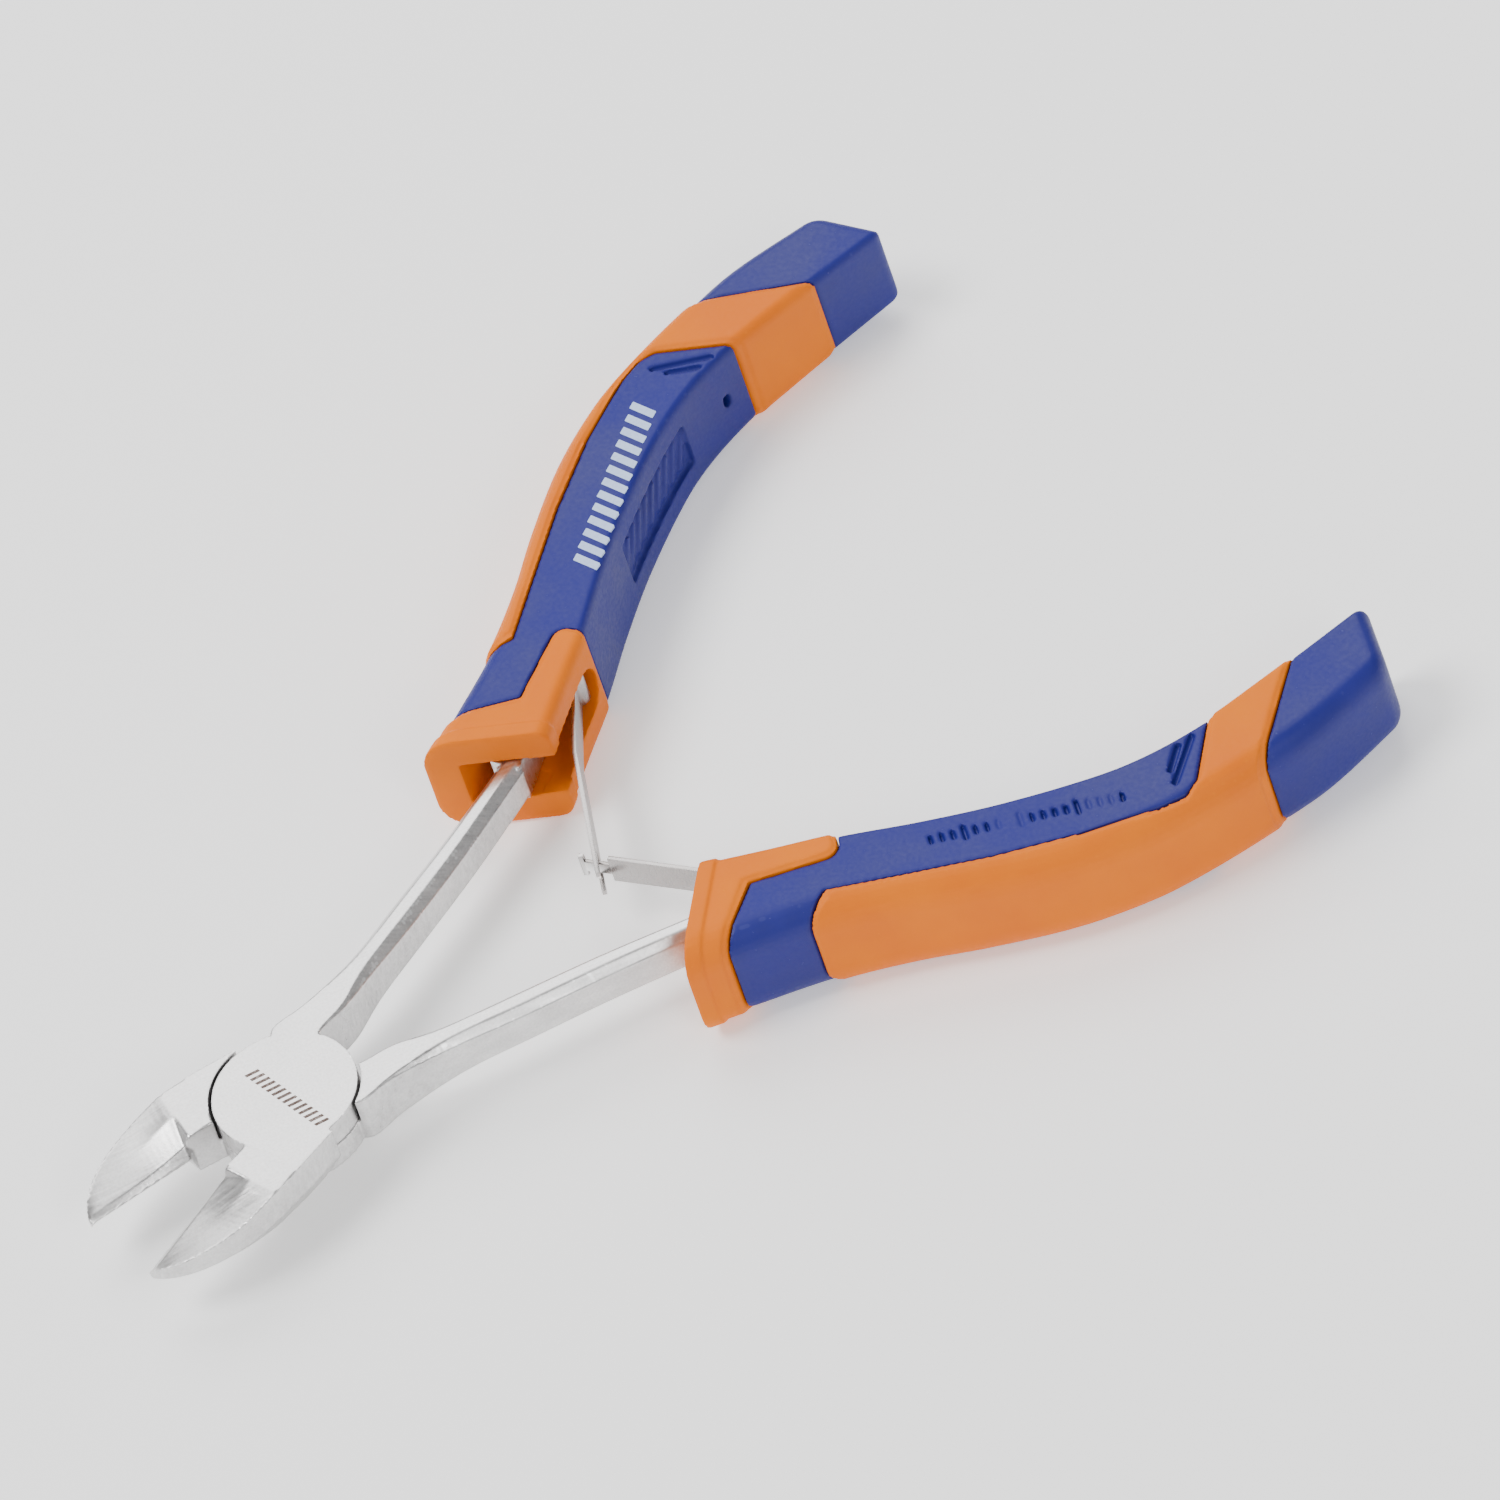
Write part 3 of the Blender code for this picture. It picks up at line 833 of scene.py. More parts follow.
@dataclass(frozen=True)
class SoftParts:
    """The soft collar, and the side band with its ring, of the +X grip."""

    front: Curve = ((43.9, -14.0), (34.2, 9.0))
    collar_back: Curve = ((44.2, -2.45), (40.2, 3.6), (36.8, 9.0))
    spur_tip: Point = (52.6, -2.1)
    spur_round: float = 1.3
    band_edge: Curve = ((50.2, 1.3), (57, 2.6), (65, 4.1), (73, 5.0), (80, 5.1), (82.6, 4.7))
    band_front: Curve = ((46.9, 4.3), (44.0, 9.0))
    ring_front: Curve = ((83.9, 3.6), (86.7, -3.0), (90.8, -14.0))
    ring_back: Curve = ((99.4, -14.0), (95.6, -6.8), (89.8, 4.1), (87.2, 9.0))
    ledge_rise: float = 0.1
    rise: float = 0.32
    ledge: float = 0.45
    lip: float = 1.6
    lip_rise: float = 0.22
    sunk: float = -1.1
    far: float = -14.0
    spur_lean: float = 1.2
    spur_steps: int = 5
    mouth_run: Point = (30.0, 42.6)
    mouth_span: Point = (-4.6, 1.2)
    mouth_half: float = 2.5
    mouth_round: float = 0.5
    tang_room: float = 2.2
    seam: float = 0.15
    stagger: float = 0.03
    grain: float = 0.15
    passes: int = 4

    def collar_region(self, grow: float, cut_front: float = 0.0) -> list[Point]:
        """Outline of the collar in (along, outward) points, grown at its back edges.

        Args:
            grow: How far its back edges grow.
            cut_front: How far its front is moved forwards.

        Returns:
            The corners in order.
        """
        tip_u, tip_v = self.spur_tip
        points = [(u - cut_front, v) for u, v in self.front]
        points += [(u + grow, v) for u, v in reversed(self.collar_back[1:])]
        points.append((self.collar_back[0][0] + grow, self.collar_back[0][1] + grow))
        centre_u, centre_v = tip_u - self.spur_round, tip_v - self.spur_round
        for angle in spread(0.0, math.pi / 2, self.spur_steps):
            points.append((centre_u + (self.spur_round + grow) * math.sin(angle),
                           centre_v + (self.spur_round + grow) * math.cos(angle)))
        points.append((tip_u + grow + self.spur_lean, self.far))
        return points

    def band_region(self, shrink: float) -> list[Point]:
        """Outline of the band and ring in (along, outward) points, shrunk at its edges.

        Args:
            shrink: How far its edges draw in.

        Returns:
            The corners in order.
        """
        points = [(u + shrink, v) for u, v in reversed(self.band_front)]
        points += [(u + (shrink if i == 0 else 0), v + shrink) for i, (u, v) in enumerate(self.band_edge)]
        points += [(u + shrink, v) for u, v in self.ring_front]
        points += [(u - shrink, v) for u, v in self.ring_back]
        return points

    def padded(self, name: str, ground: list[Point], pad: list[Point]) -> bpy.types.Object:
        """A soft part: a low ledge along its border and a raised pad inside it.

        Args:
            name: The part's name.
            ground: Outline of the ledge.
            pad: Outline of the pad.

        Returns:
            The part.
        """
        body = SHAPE.solid(name, self.ledge_rise)
        Bench.combine(body, region("part", ground), Cut.SHARED)
        raised = SHAPE.solid("raised", self.rise)
        Bench.combine(raised, region("pad", pad), Cut.SHARED)
        Bench.combine(body, raised, Cut.JOIN)
        return body

    def collar(self, name: str) -> bpy.types.Object:
        """Front collar with its lip, the mouth round the shank and the spring slot.

        Args:
            name: The collar's name.

        Returns:
            The collar.
        """
        body = self.padded(name, self.collar_region(0.0), self.collar_region(-self.ledge, -self.stagger))
        lip = SHAPE.solid("lip", self.rise + self.lip_rise)
        (u0, v0), (u1, v1) = self.front
        near = 2 * self.stagger
        strip = [(u0 + near, v0), (u1 + near, v1), (u1 + self.lip, v1), (u0 + self.lip, v0)]
        Bench.combine(lip, region("strip", strip), Cut.SHARED)
        Bench.combine(body, lip, Cut.JOIN)
        (low, high), (start, end) = self.mouth_span, self.mouth_run
        mouth = Bench.prism("mouth", [(low, start), (high, start), (high, end), (low, end)],
                            -self.mouth_half, self.mouth_half, self.mouth_round)
        Bench.combine(body, mouth, Cut.AWAY)
        Bench.combine(body, Slot().cutter(), Cut.AWAY)
        tang = Bench.prism("tang", tang_outline(TANG_GAP), -self.tang_room, self.tang_room)
        Bench.combine(body, tang, Cut.AWAY)
        Bench.mould(body, self.grain, self.passes)
        return body

    def band(self, name: str) -> bpy.types.Object:
        """Side band with the ring round the grip.

        Args:
            name: The band's name.

        Returns:
            The band.
        """
        body = self.padded(name, self.band_region(self.seam), self.band_region(self.seam + self.ledge))
        Bench.combine(body, SHAPE.solid("inside", self.sunk + self.seam), Cut.AWAY)
        Bench.mould(body, self.grain, self.passes)
        return body


SOFT = SoftParts()


@dataclass(frozen=True)
class ThumbPad:
    """The sunk pad on a grip's inner side, with a row of slanted ridges in it."""

    start: float = 64.3
    end: float = 78.6
    half: float = 2.5
    depth: float = 0.6
    ridges: int = 9
    ridge_width: float = 0.55
    ridge_rise: float = 0.3
    slant: float = math.radians(28)
    ridge_root: float = 0.5
    root_half: float = 0.35
    ridge_share: float = 0.8
    block: float = 2.0
    steps: int = 8

    def sink(self, body: bpy.types.Object) -> None:
        """Cut the pad into a grip and stand its ridges in it.

        Args:
            body: The grip.
        """
        stations = []
        for u in spread(self.start, self.end, self.steps):
            middle = read_curve(SHAPE.inner, u) + self.depth - self.block / 2
            stations.append(Station(u, middle, self.block, 2 * self.half))
        Bench.combine(body, Bench.sweep("pad", stations, (0, 0)), Cut.AWAY)
        pitch = (self.end - self.start) / self.ridges
        tall = self.half * self.ridge_share
        for i in range(self.ridges):
            u = self.start + pitch * (i + 0.5)
            floor = read_curve(SHAPE.inner, u) + self.depth
            crest, root, width = floor - self.ridge_rise, floor + self.ridge_root, self.ridge_width / 2
            ridge = Bench.prism("ridge", [(crest, -width), (root, -self.root_half), (root, self.root_half),
                                          (crest, width)], -tall, tall)
            Bench.set_in_place(ridge, Matrix.Translation((0, u, 0)) @ Matrix.Rotation(self.slant, 4, "X"))
            Bench.combine(body, ridge, Cut.JOIN)


@dataclass(frozen=True)
class HardGrip:
    """The hard sleeve of the +X grip."""

    slashes: tuple[Curve, ...] = (((82.0, 1.7), (83.6, -1.3)), ((82.0, 3.2), (85.0, -1.8)))
    slash_width: float = 0.55
    cut_depth: float = 0.55
    cut_over: float = 2.0
    tick_start: float = 58.4
    tick_end: float = 77.4
    ticks: int = 20
    tick_width: float = 0.4
    tick_middle: Point = (-0.4, 2.6)
    tick_reach: float = 0.6
    long_reach: float = 0.95
    long_every: int = 5
    front_room: Curve = ((30, -14), (30, 9))
    tang_room: float = 2.22
    dimple_round: float = 0.2
    dimple_depth: float = 1.0
    dimple: Curve = ((83.9, 0.35), (84.7, 0.35), (84.7, -0.95), (83.9, -0.95))
    grain: float = 0.17
    passes: int = 3

    def engrave(self, body: bpy.types.Object, outline: list[Point], up: int) -> None:
        """Cut a flat mark into the top (up 1) or underside (up -1) of the grip.

        Args:
            body: The grip.
            outline: The mark's corners in (along, outward) points.
            up: 1 on top, -1 underneath.
        """
        middle = sum(u for u, v in outline) / len(outline)
        floor = SHAPE.top(middle) - self.cut_depth
        low, high = sorted((up * floor, up * (floor + self.cut_over)))
        Bench.combine(body, Bench.prism("mark", [(v, u) for u, v in outline], low, high), Cut.AWAY)

    def bar(self, ends: Curve, width: float) -> list[Point]:
        """Outline of a straight bar between two points.

        Args:
            ends: Its two end points.
            width: Its width.

        Returns:
            Its four corners.
        """
        start, end = Vector(ends[0]), Vector(ends[1])
        side = (end - start).orthogonal().normalized() * width / 2
        return [tuple(start + side), tuple(end + side), tuple(end - side), tuple(start - side)]

    def make(self, name: str) -> bpy.types.Object:
        """Model the sleeve.

        Args:
            name: The sleeve's name.

        Returns:
            The sleeve.
        """
        body = SHAPE.solid(name)
        room = [*self.front_room, *SOFT.collar_region(SOFT.seam)[2:]]
        Bench.combine(body, region("collar_room", room), Cut.AWAY)
        ring = region("band_room", SOFT.band_region(0.0))
        Bench.combine(ring, SHAPE.solid("inside", SOFT.sunk), Cut.AWAY)
        Bench.combine(body, ring, Cut.AWAY)
        Bench.combine(body, Slot().cutter(), Cut.AWAY)
        cavity = Bench.prism("cavity", tang_outline(TANG_GAP), -self.tang_room, self.tang_room)
        Bench.combine(body, cavity, Cut.AWAY)
        ThumbPad().sink(body)
        for up in (1, -1):
            for ends in self.slashes:
                self.engrave(body, self.bar(ends, self.slash_width), up)
        for i, u in enumerate(spread(self.tick_start, self.tick_end, self.ticks - 1)):
            low, high = self.tick_middle
            middle = low + (high - low) * i / (self.ticks - 1)
            reach = self.tick_reach if i % self.long_every else self.long_reach
            self.engrave(body, self.bar(((u, middle - reach), (u, middle + reach)), self.tick_width), 1)
        dimple = Bench.prism("dimple", [(z, u) for u, z in self.dimple], -self.dimple_depth,
                             self.dimple_depth, self.dimple_round)
        side = read_curve(SHAPE.inner, self.dimple[0][0])
        Bench.set_in_place(dimple, Matrix.Translation((side, 0, 0)) @ Matrix.Rotation(math.pi / 2, 4, "Y"))
        Bench.combine(body, dimple, Cut.AWAY)
        Bench.mould(body, self.grain, self.passes)
        return body


@dataclass(frozen=True)
class Print:
    """A pale row of slanted bars printed on the underside of the +X grip."""

    start: float = 59.4
    end: float = 77.6
    base: Point = (-2.6, 0.3)
    tall: float = 2.6
    bars: int = 13
    bar_width: float = 0.8
    lean: float = 0.5
    coat: float = 0.04
    sunk: float = 0.3
    corner: float = 0.08

    def make(self, name: str) -> bpy.types.Object:
        """Lay the bars on the surface.

        Args:
            name: The print's name.

        Returns:
            The print.
        """
        pieces = []
        for i, u in enumerate(spread(self.start, self.end - self.bar_width, self.bars - 1)):
            low = self.base[0] + (self.base[1] - self.base[0]) * i / (self.bars - 1)
            high = low + self.tall
            end, lean = u + self.bar_width, self.lean
            outline = [(low, u), (low, end), (high, end + lean), (high, u + lean)]
            surface = -SHAPE.top(u)
            pieces.append(Bench.prism(name, outline, surface - self.coat, surface + self.sunk, self.corner))
        Bench.only(*pieces)
        bpy.ops.object.join()
        return Bench.fresh(name)


@dataclass(frozen=True)
class Jaw:
    """The -X jaw of a lever that lies disc down, shut against the closing line (mm)."""

    up: int = 1
    tip: float = -20.3
    curve_start: float = -6.0
    width: float = 6.95
    power: float = 0.55
    tip_width: float = 0.6
    edge_off: float = 0.06
    edge: Curve = ((-20.3, -0.8), (-8.8, 0.4))
    bevel_run: Curve = ((-20.3, 0.6), (-13.4, 0.65), (-9.9, 0.8))
    bevel_rise: Curve = ((-20.3, 0.45), (-13.4, 0.7), (-9.9, 1.1))
    relief: float = 1.2
    crown: float = 0.5
    swell_from: float = -15.0
    swell_power: float = 1.5
    top: Curve = ((-20.3, 0.1), (-17.6, 0.8), (-13.4, 1.45), (-8.5, 2.5))
    bottom: Curve = ((-20.3, -1.4), (-13.4, -2.2), (-8.5, -2.5))
    side_low: Curve = ((-20.3, -1.2), (-13.4, -1.1), (-8.5, -0.7))
    under: float = 0.9
    throat: float = -9.9
    throat_width: float = 0.8
    root_stops: tuple[float, ...] = (-9.3, -6.0, -1.5)
    back_share: float = 0.7
    low_share: float = 0.6
    under_share: float = 0.2
    cap_step: float = 0.02
    bunching: float = 1.5
    steps: int = 24

    def section(self, y: float) -> list[Place]:
        """One cross-section of the jaw, from its edge over the top and back underneath.

        Args:
            y: Where it is cut.

        Returns:
            Its corners in order.
        """
        t = max(0.0, (self.curve_start - y) / (self.curve_start - self.tip))
        outer = max(self.width * (1 - t * t) ** self.power, self.tip_width)
        curves = (self.top, self.bottom, self.side_low, self.edge, self.bevel_run, self.bevel_rise)
        heights = [read_curve(curve, min(y, curve[-1][0])) for curve in curves]
        top, bottom, side_low, edge, run, rise = heights
        inner = self.edge_off
        back, low = inner + run, inner + (edge - bottom) * self.relief
        bevel_top = edge + rise
        if y > self.throat:  # behind the throat the section is a plain block
            inner = self.throat_width
            back = low = inner + self.cap_step
            bevel_top = top
        back, low = min(back, outer * self.back_share), min(low, outer * self.low_share)
        under = outer - min(self.under, outer * self.under_share)
        swell = min(1.0, max(0.0, (y - self.swell_from) / (self.throat - self.swell_from)))
        crown = self.crown + (1 - self.crown) * swell ** self.swell_power
        middle = (back + (outer - back) * self.crown, bevel_top + (top - bevel_top) * crown)
        ring = ((inner, edge), (back, bevel_top), middle, (outer, top), (outer, side_low), (under, bottom),
                (low, bottom))
        return [(-x, y, z * self.up) for x, z in ring]

    def make(self) -> bpy.types.Object:
        """Model the jaw, opened to its rest angle.

        Returns:
            The jaw.
        """
        stops = [self.tip + (self.throat - self.tip) * share ** self.bunching
                 for share in spread(0.0, 1.0, self.steps)]
        jaw = Bench.skin("jaw", [self.section(y) for y in (*stops, *self.root_stops)])
        Bench.set_in_place(jaw, Matrix.Rotation(-PLAN.open_half, 4, "Z"))
        return jaw


@dataclass(frozen=True)
class Lever:
    """A lever lying disc down: -X jaw, disc under the lap, +X shank and tang."""

    disc: float = 6.6
    disc_gap: float = 0.25
    half: float = 2.5
    lap: float = 0.05
    shank_inner: Curve = ((1.9, 4.4), (2.9, 6.7), (3.4, 9.8), (4.9, 14.0), (6.8, 20.5), (9.3, 28.4),
                          (12.6, 37.4))
    shank_outer: Curve = ((4.4, 2.5), (6.4, 3.6), (6.5, 7.5), (7.6, 13.5), (9.6, 20.0), (12.1, 28.4),
                          (15.2, 37.6))
    shank_half: Curve = ((0, 2.5), (2, 2.5), (3, 2.4), (4, 2.3), (6, 2.3))
    shank_edge: Curve = ((0, 0.1), (1, 0.1), (2, 0.3), (3, 0.7), (4, 0.8), (6, 0.8))
    shank_steps: int = 30
    hole: float = 2.3
    hole_top: float = 1.7
    sink: float = 3.1
    sink_top: float = -1.6
    tang_half: float = 2.1
    disc_sides: int = 180
    hole_sides: int = 64
    grain: float = 0.13
    passes: int = 2

    def point_on(self, edge: Curve, key: float) -> Vector:
        """The point of an edge at a place counted in its own points.

        Args:
            edge: The edge's points in plan.
            key: The place, from 0 at the first point.

        Returns:
            The point.
        """
        across = tuple((i, x) for i, (x, y) in enumerate(edge))
        along = tuple((i, y) for i, (x, y) in enumerate(edge))
        return Vector([read_curve(across, key), read_curve(along, key)])

    def shank(self) -> bpy.types.Object:
        """The shank: a flat bar with broad chamfers.

        Returns:
            The shank.
        """
        rings = []
        for key in spread(0, len(self.shank_inner) - 1, self.shank_steps):
            start, end = (self.point_on(edge, key) for edge in (self.shank_inner, self.shank_outer))
            width = (end - start).length
            across = (end - start) / width
            half, edge = read_curve(self.shank_half, key), read_curve(self.shank_edge, key)
            corners = ((edge, -half), (width - edge, -half), (width, edge - half), (width, half - edge),
                       (width - edge, half), (edge, half), (0, half - edge), (0, edge - half))
            rings.append([(*(start + across * run), z) for run, z in corners])
        return Bench.skin("shank", rings)

    def make(self, name: str, up: int) -> bpy.types.Object:
        """Model the lever.

        Args:
            name: Its name.
            up: 1 where the jaw's bevel faces up, -1 where it faces down.

        Returns:
            The lever, disc down.
        """
        body = Bench.rod(name, self.disc, -self.half, -self.lap, self.disc_sides)
        shank = self.shank()
        tang = Bench.prism("tang", tang_outline(0.0), -self.tang_half, self.tang_half)
        Bench.set_in_place(tang, Matrix.Rotation(-PLAN.grip_angle, 4, "Z"))
        Bench.combine(shank, tang, Cut.JOIN)
        jaw = Jaw(up).make()
        Bench.combine(jaw, shank, Cut.JOIN)
        clear = self.half * 2
        room = Bench.rod("room", self.disc + self.disc_gap, -self.lap, clear, self.disc_sides)
        Bench.combine(jaw, room, Cut.AWAY)
        Bench.combine(body, jaw, Cut.JOIN)
        low, high = (-clear, self.hole_top) if up > 0 else (-self.hole_top, clear)
        hole = Bench.rod("hole", self.hole, low, high, self.hole_sides)
        low, high = (-clear, self.sink_top) if up > 0 else (-self.sink_top, clear)
        Bench.combine(hole, Bench.rod("sink", self.sink, low, high, self.hole_sides), Cut.JOIN)
        Bench.combine(body, hole, Cut.AWAY)
        Bench.mould(body, self.grain, self.passes)
        return body


@dataclass(frozen=True)
class HeadMark:
    """A dark row of slanted ticks burnt into the top of the joint."""

    start: Point = (-4.1, -0.75)
    end: Point = (5.1, -0.1)
    ticks: int = 14
    width: float = 0.34
    tall: float = 1.25
    lean: float = 0.45
    top: float = 2.5
    coat: float = 0.004
    sunk: float = 0.1
    corner: float = 0.04

    def make(self, name: str) -> bpy.types.Object:
        """Lay the ticks on the joint.

        Args:
            name: The mark's name.

        Returns:
            The mark.
        """
        pieces = []
        start, end = Vector(self.start), Vector(self.end)
        along = (end - start).normalized()
        up = Vector((-along.y, along.x))
        for share in spread(0, 1, self.ticks - 1):
            foot = start + (end - start) * share - up * self.tall / 2
            head = foot + up * self.tall + along * self.lean
            across = along * self.width
            outline = [tuple(point) for point in (foot, foot + across, head + across, head)]
            low, high = self.top - self.sunk, self.top + self.coat
            pieces.append(Bench.prism(name, outline, low, high, self.corner))
        Bench.only(*pieces)
        bpy.ops.object.join()
        return Bench.fresh(name)


@dataclass(frozen=True)
class Rivet:
    """Pivot rivet, flush below and blind above."""

    shank: float = 2.2
    head: float = 3.0
    head_thick: float = 0.8
    low: float = -2.5
    high: float = 1.6
    edge: float = 0.12
    dish: float = 0.9
    dish_deep: float = 0.12
    dish_sides: int = 48
    rim: float = 0.06
    rim_angle: float = math.radians(40)

    def make(self, name: str) -> bpy.types.Object:
        """Model the rivet.

        Args:
            name: The rivet's name.

        Returns:
            The rivet.
        """
        body = Bench.rod(name, self.shank, self.low, self.high, edge=self.edge)
        head = Bench.rod("head", self.head, self.low, self.low + self.head_thick, edge=self.edge)
        Bench.combine(body, head, Cut.JOIN)
        dish = Bench.rod("dish", self.dish, self.low - 1, self.low + self.dish_deep, self.dish_sides)
        Bench.combine(body, dish, Cut.AWAY)
        Bench.modify(body, "BEVEL", width=self.rim, segments=2, limit_method="ANGLE",
                     angle_limit=self.rim_angle)
        return body


@dataclass(frozen=True)
class Leaf:
    """A spring leaf of the +X side, on edge, with its eye at the root."""

    hinge: Point = (17.75, 47.2)
    bend: Point = (11.1, 42.0)
    meet: Point = (0.0, 35.4)
    thick: float = 0.4
    half: float = 1.5
    eye: float = 0.95
    pin: float = 0.55
    pin_gap: float = 0.05
    neck: float = 0.6
    neck_from: float = -1.3
    head_from: float = 1.1
    head_thick: float = 0.5
    head_half: float = 1.3
    window: Point = (-1.2, 2.4)
    window_half: float = 0.95
    over: float = 2.1
    edge: float = 0.05
    edge_angle: float = math.radians(50)
    bend_soft: float = 0.9
    bend_sag: float = 0.1
    eye_over: float = 0.05
    eye_sides: int = 40
    hole_half: float = 4.0
    shoulder: float = 0.02
    pin_half: float = 2.1
    pin_edge: float = 0.12

    def strip(self, name: str, stops: list[tuple[Vector, float]]) -> bpy.types.Object:
        """Bend a strip on edge through (place, half height) stops.

        Args:
            name: The strip's name.
            stops: Its stops, from root to end.

        Returns:
            The strip.
        """
        rings = []
        last = len(stops) - 1
        for i, (point, half) in enumerate(stops):
            before = (point - stops[i - 1][0]).normalized() if i else None
            after = (stops[i + 1][0] - point).normalized() if i < last else None
            run = ((before or after) + (after or before)).normalized()
            side = Vector((-run.y, run.x)) * self.thick / 2
            corners = ((1, half), (-1, half), (-1, -half), (1, -half))
            rings.append([(*(point + side * sign), z) for sign, z in corners])
        return Bench.skin(name, rings)

    def stops(self) -> tuple[list[tuple[Vector, float]], Vector, Vector]:
        """The full-height part of the leaf, where it meets the other, and the way it runs there.

        Returns:
            The stops, the meeting point and the way the leaf runs there.
        """
        hinge, bend, meet = Vector(self.hinge), Vector(self.bend), Vector(self.meet)
        into, along = (bend - hinge).normalized(), (meet - bend).normalized()
        tail = hinge + into * (self.eye + self.pin + self.pin_gap) / 2
        soft = self.bend_soft
        sag = (along - into) * soft * self.bend_sag
        rounded = [bend - into * soft, bend - into * soft / 3 + sag, bend + along * soft / 3 - sag,
                   bend + along * soft]
        return [(point, self.half) for point in [tail, *rounded]], meet, along

    def add_eye(self, leaf: bpy.types.Object) -> None:
        """Roll the leaf's root into an eye round its pin.

        Args:
            leaf: The leaf.
        """
        high = self.half + self.eye_over
        eye = Bench.rod("eye", self.eye, -high, high, self.eye_sides, at=self.hinge)
        Bench.combine(leaf, eye, Cut.JOIN)
        bore, deep = self.pin + self.pin_gap, self.hole_half
        hole = Bench.rod("eye_hole", bore, -deep, deep, self.eye_sides, at=self.hinge)
        Bench.combine(leaf, hole, Cut.AWAY)
        Bench.modify(leaf, "BEVEL", width=self.edge, segments=2, limit_method="ANGLE",
                     angle_limit=self.edge_angle)

    def with_tab(self, name: str) -> bpy.types.Object:
        """The leaf whose neck carries a small cross head.

        Args:
            name: The leaf's name.

        Returns:
            The leaf.
        """
        stops, meet, along = self.stops()
        for run, half in ((self.neck_from, self.half), (self.neck_from + self.shoulder, self.neck),
                          (self.head_from, self.neck), (self.head_from + self.shoulder, self.head_half),
                          (self.head_from + self.head_thick, self.head_half)):
            stops.append((meet + along * run, half))
        leaf = self.strip(name, stops)
        self.add_eye(leaf)
        return leaf

    def with_window(self, name: str) -> bpy.types.Object:
        """The leaf with a window for the other leaf's neck.

        Args:
            name: The leaf's name.

        Returns:
            The leaf.
        """
        stops, meet, along = self.stops()
        leaf = self.strip(name, [*stops, (meet + along * self.over, self.half)])
        side = Vector((-along.y, along.x))
        low, high = (meet + along * run for run in self.window)
        outline = [tuple(point) for point in (low + side, high + side, high - side, low - side)]
        Bench.combine(leaf, Bench.prism("window", outline, -self.window_half, self.window_half), Cut.AWAY)
        self.add_eye(leaf)
        return leaf

    def pin_piece(self, name: str) -> bpy.types.Object:
        """The pin that the leaf turns on.

        Args:
            name: The pin's name.

        Returns:
            The pin.
        """
        return Bench.rod(name, self.pin, -self.pin_half, self.pin_half, self.eye_sides, edge=self.pin_edge,
                         at=self.hinge)


class SideCutter:
    """The whole tool, built from its sub-assemblies."""

    def put(self, obj: bpy.types.Object, in_grip: bool = False, turned: bool = False,
            angle: float = 40) -> bpy.types.Object:
        """Set a piece from the bench in its place.

        Args:
            obj: The piece.
            in_grip: Whether it was made in the grip's own frame.
            turned: Whether it belongs to the turned-over half.
            angle: Faces that meet at less than this are shaded as one, in degrees.

        Returns:
            The piece.
        """
        matrix = PLAN.grip() if in_grip else PLAN.table()
        Bench.set_in_place(obj, PLAN.turn_over() @ matrix if turned else matrix)
        Bench.smooth(obj, angle)
        return obj

    def pair(self, obj: bpy.types.Object, finish: Finish, node: str, in_grip: bool = True) -> None:
        """Place a piece on the +X side and its twin, turned over, on the -X side.

        Args:
            obj: The +X piece.
            finish: Their finish.
            node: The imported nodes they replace, without the side.
            in_grip: Whether it was made in the grip's own frame.
        """
        twin = Bench.twin(obj, obj.name.replace(Side.RIGHT.value, Side.LEFT.value))
        show(self.put(obj, in_grip), Body.LOWER, finish, f"{node}_{Side.RIGHT.value}")
        show(self.put(twin, in_grip, turned=True), Body.UPPER, finish, f"{node}_{Side.LEFT.value}")

    def build_levers(self) -> None:
        """Both levers, the rivet and the mark on the joint."""
        lower = Lever().make("steel_lower", up=1)
        upper = Lever().make("steel_upper", up=-1)
        show(self.put(lower), Body.LOWER, TOOL_STEEL, "lever_lower")
        show(self.put(upper, turned=True), Body.UPPER, TOOL_STEEL, "lever_upper")
        show(self.put(Rivet().make("rivet")), Body.UPPER, RIVET_STEEL, "pivot_rivet")
        show(self.put(HeadMark().make("joint_mark")), Body.UPPER, BURNT_MARK)

    def build_grips(self) -> None:
        """Both grips with their soft parts and print."""
        self.pair(HardGrip().make("sleeve_right"), HARD_BLUE, "grip_core")
        self.pair(SOFT.collar("collar_right"), SOFT_ORANGE, "front_collar")
        self.pair(SOFT.band("band_right"), SOFT_ORANGE, "side_band")
        print_right = Print().make("print_right")
        print_left = Bench.twin(print_right, "print_left")
        show(self.put(print_right, True), Body.LOWER, PALE_PRINT)
        show(self.put(print_left, True, turned=True), Body.UPPER, PALE_PRINT)

    def build_springs(self) -> None:
        """Both spring leaves and their pins."""
        leaf = Leaf()
        show(self.put(leaf.with_tab("leaf_right")), Body.RIGHT_LEAF, SPRING_STEEL, "spring_leaf_right")
        left = self.put(leaf.with_window("leaf_left"), turned=True)
        show(left, Body.LEFT_LEAF, SPRING_STEEL, "spring_leaf_left")
        self.pair(leaf.pin_piece("pin_right"), SPRING_STEEL, "spring_pin", in_grip=False)

    def build(self) -> None:
        """Build every piece."""
        self.build_levers()
        self.build_grips()
        self.build_springs()


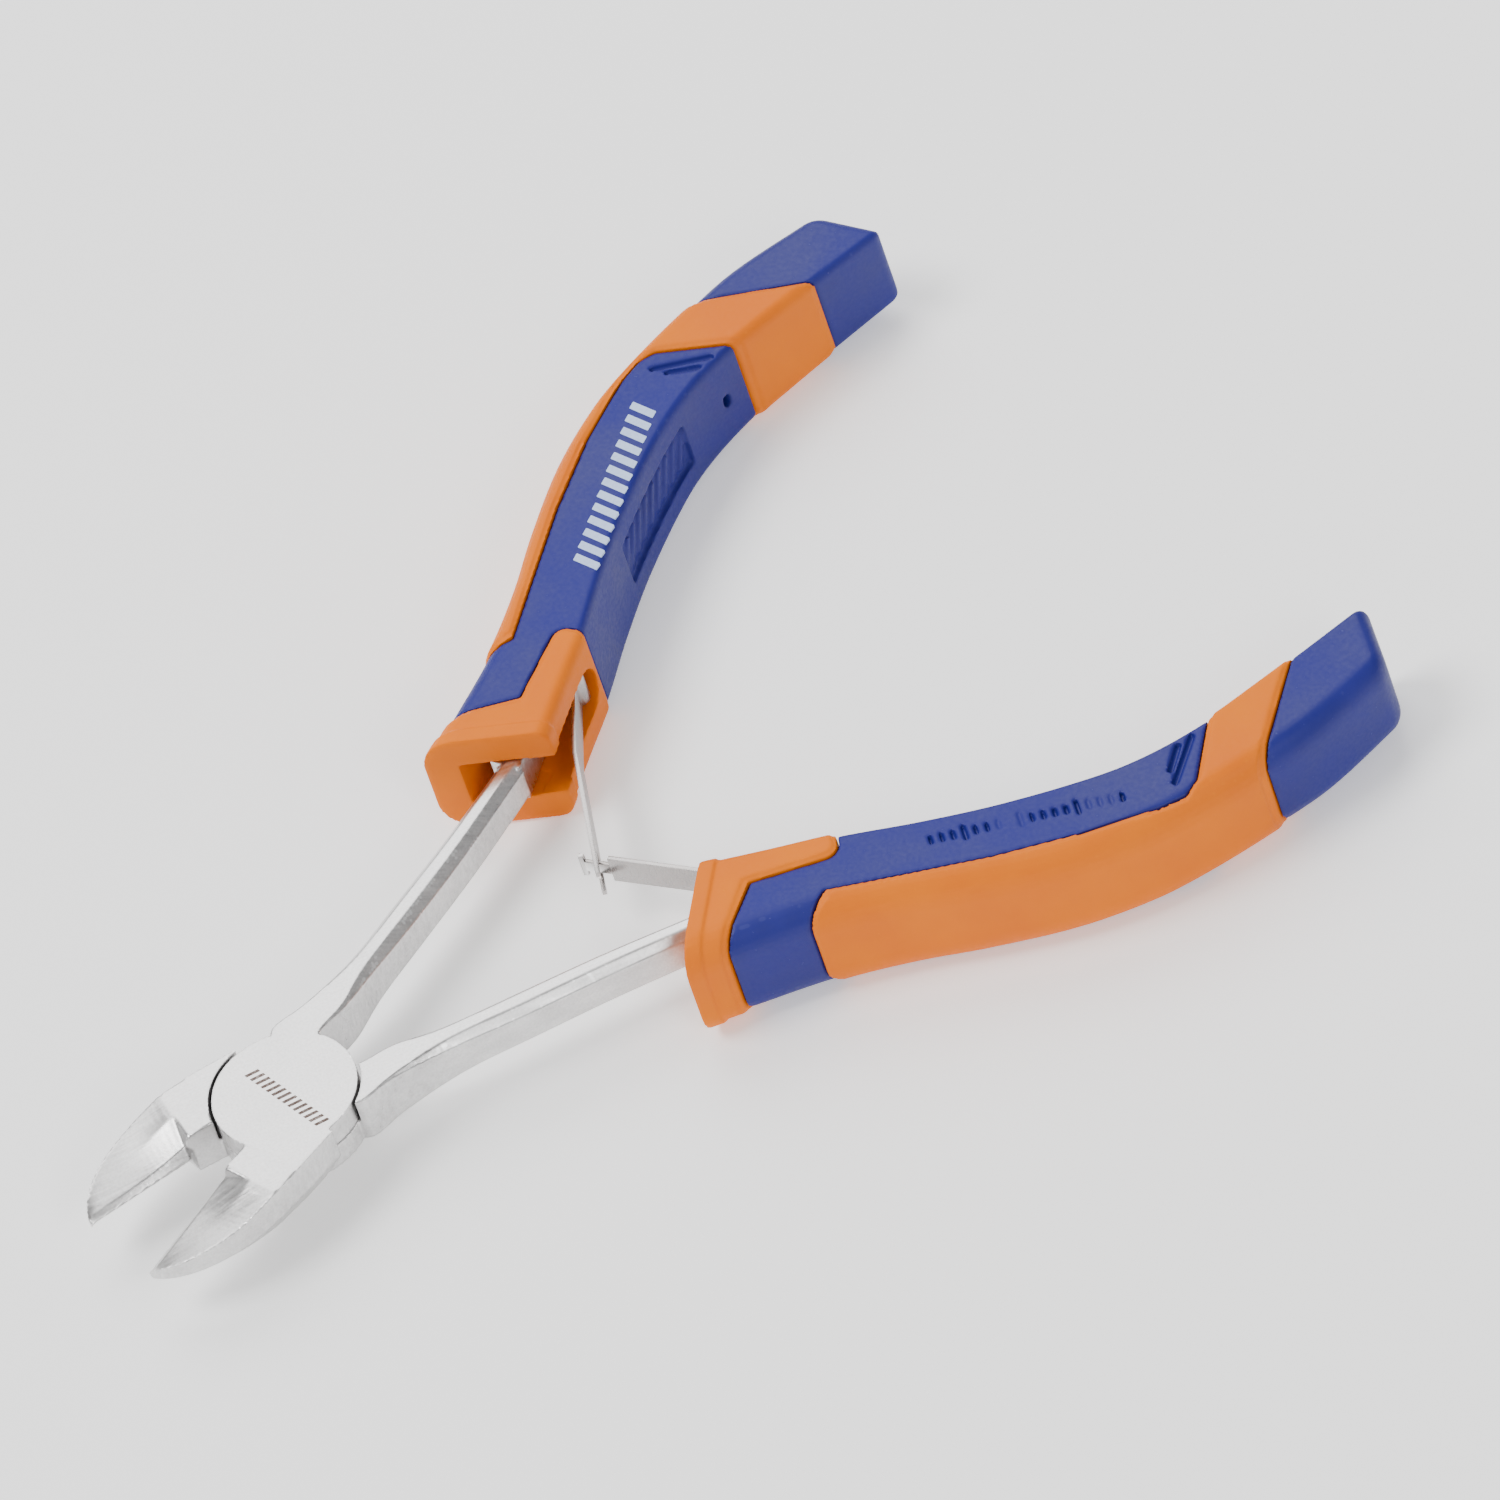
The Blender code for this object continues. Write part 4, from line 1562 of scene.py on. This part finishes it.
@dataclass(frozen=True)
class Lamp:
    """One soft area light aimed at the tool."""

    name: str
    place: Place
    size: float
    power: float
    aim: Place = (0.0, 0.05, 0.0)

    def light(self) -> None:
        """Hang the lamp."""
        data = bpy.data.lights.new(self.name, "AREA")
        data.shape = "DISK"
        data.size = self.size
        data.energy = self.power
        obj = bpy.data.objects.new(self.name, data)
        bpy.context.collection.objects.link(obj)
        obj.location = self.place
        way = Vector(self.aim) - Vector(self.place)
        obj.rotation_euler = way.to_track_quat("-Z", "Y").to_euler()


@dataclass(frozen=True)
class Studio:
    """Pale floor, soft light and the camera."""

    floor_z: float = -0.0085
    floor_size: float = 6.0
    azimuth: float = math.radians(65.658)
    elevation: float = math.radians(47.451)
    roll: float = math.radians(-19.730)
    target: Place = (0.000274, 0.05281, -0.0025)
    distance: float = 2.3871
    lens: float = 652.5
    sky: float = 0.5
    glow: float = 0.45
    floor_shade: Colour = (0.93, 0.93, 0.93)
    floor_light: Colour = (0.95, 0.95, 0.95)
    floor_rough: Point = (0.8, 0.9)
    floor_cloud: float = 6.0
    floor_grain: float = 900.0
    floor_relief: float = 0.01
    lamps: tuple[Lamp, ...] = (Lamp("key", (-0.5, -0.9, 1.8), 1.0, 34.0),
                               Lamp("back", (-1.25, 0.6, 1.5), 1.6, 24.0),
                               Lamp("front", (1.75, -0.1, 1.35), 0.6, 11.0))

    def floor(self) -> None:
        """Lay the floor."""
        bpy.ops.object.select_all(action="DESELECT")
        bpy.ops.mesh.primitive_plane_add(size=self.floor_size, location=(0, 0, 0))
        floor = Bench.fresh("floor")
        Bench.pick_faces(floor, lambda centre, normal: True)
        bpy.ops.mesh.subdivide(number_cuts=8)
        Bench.done()
        Bench.set_in_place(floor, Matrix.Translation((0, 0, self.floor_z)))
        shader = Shader("pale floor")
        cloud = shader.noise(shader.place, self.floor_cloud, detail=4.0)
        grain = shader.noise(shader.place, self.floor_grain, detail=2.0)
        shader.relief((grain, self.floor_relief))
        floor.data.materials.append(shader.surface_of(
            Base_Color=shader.tint(cloud, self.floor_shade, self.floor_light),
            Roughness=shader.between(grain, *NOISE_RANGE, *self.floor_rough),
            Emission_Color=(1.0, 1.0, 1.0, 1.0), Emission_Strength=self.glow))

    def world(self) -> None:
        """Light the room evenly."""
        world = bpy.data.worlds.new("room")
        world.use_nodes = True
        back = world.node_tree.nodes["Background"]
        back.inputs["Color"].default_value = (1, 1, 1, 1)
        back.inputs["Strength"].default_value = self.sky
        bpy.context.scene.world = world

    def camera(self) -> None:
        """Set up the camera."""
        back = Vector((math.sin(self.azimuth) * math.cos(self.elevation),
                       -math.cos(self.azimuth) * math.cos(self.elevation), math.sin(self.elevation)))
        level = (-back).cross(Vector((0, 0, 1))).normalized()
        down = (-back).cross(level)
        right = math.cos(self.roll) * level - math.sin(self.roll) * down
        up = -(math.sin(self.roll) * level + math.cos(self.roll) * down)
        data = bpy.data.cameras.new("camera")
        data.lens = self.lens
        data.sensor_width = 36.0
        data.clip_end = 20.0
        camera = bpy.data.objects.new("camera", data)
        bpy.context.collection.objects.link(camera)
        turn = Matrix((right, up, back)).transposed().to_4x4()
        camera.matrix_world = Matrix.Translation(Vector(self.target) + back * self.distance) @ turn
        bpy.context.scene.camera = camera

    def set_up(self) -> None:
        """Set up everything round the tool."""
        self.floor()
        self.world()
        for lamp in self.lamps:
            lamp.light()
        self.camera()


def main() -> None:
    """Build the tool and its studio."""
    logging.basicConfig(level=logging.INFO, format="%(message)s")
    SideCutter().build()
    Studio().set_up()


if __name__ == "__main__":
    main()
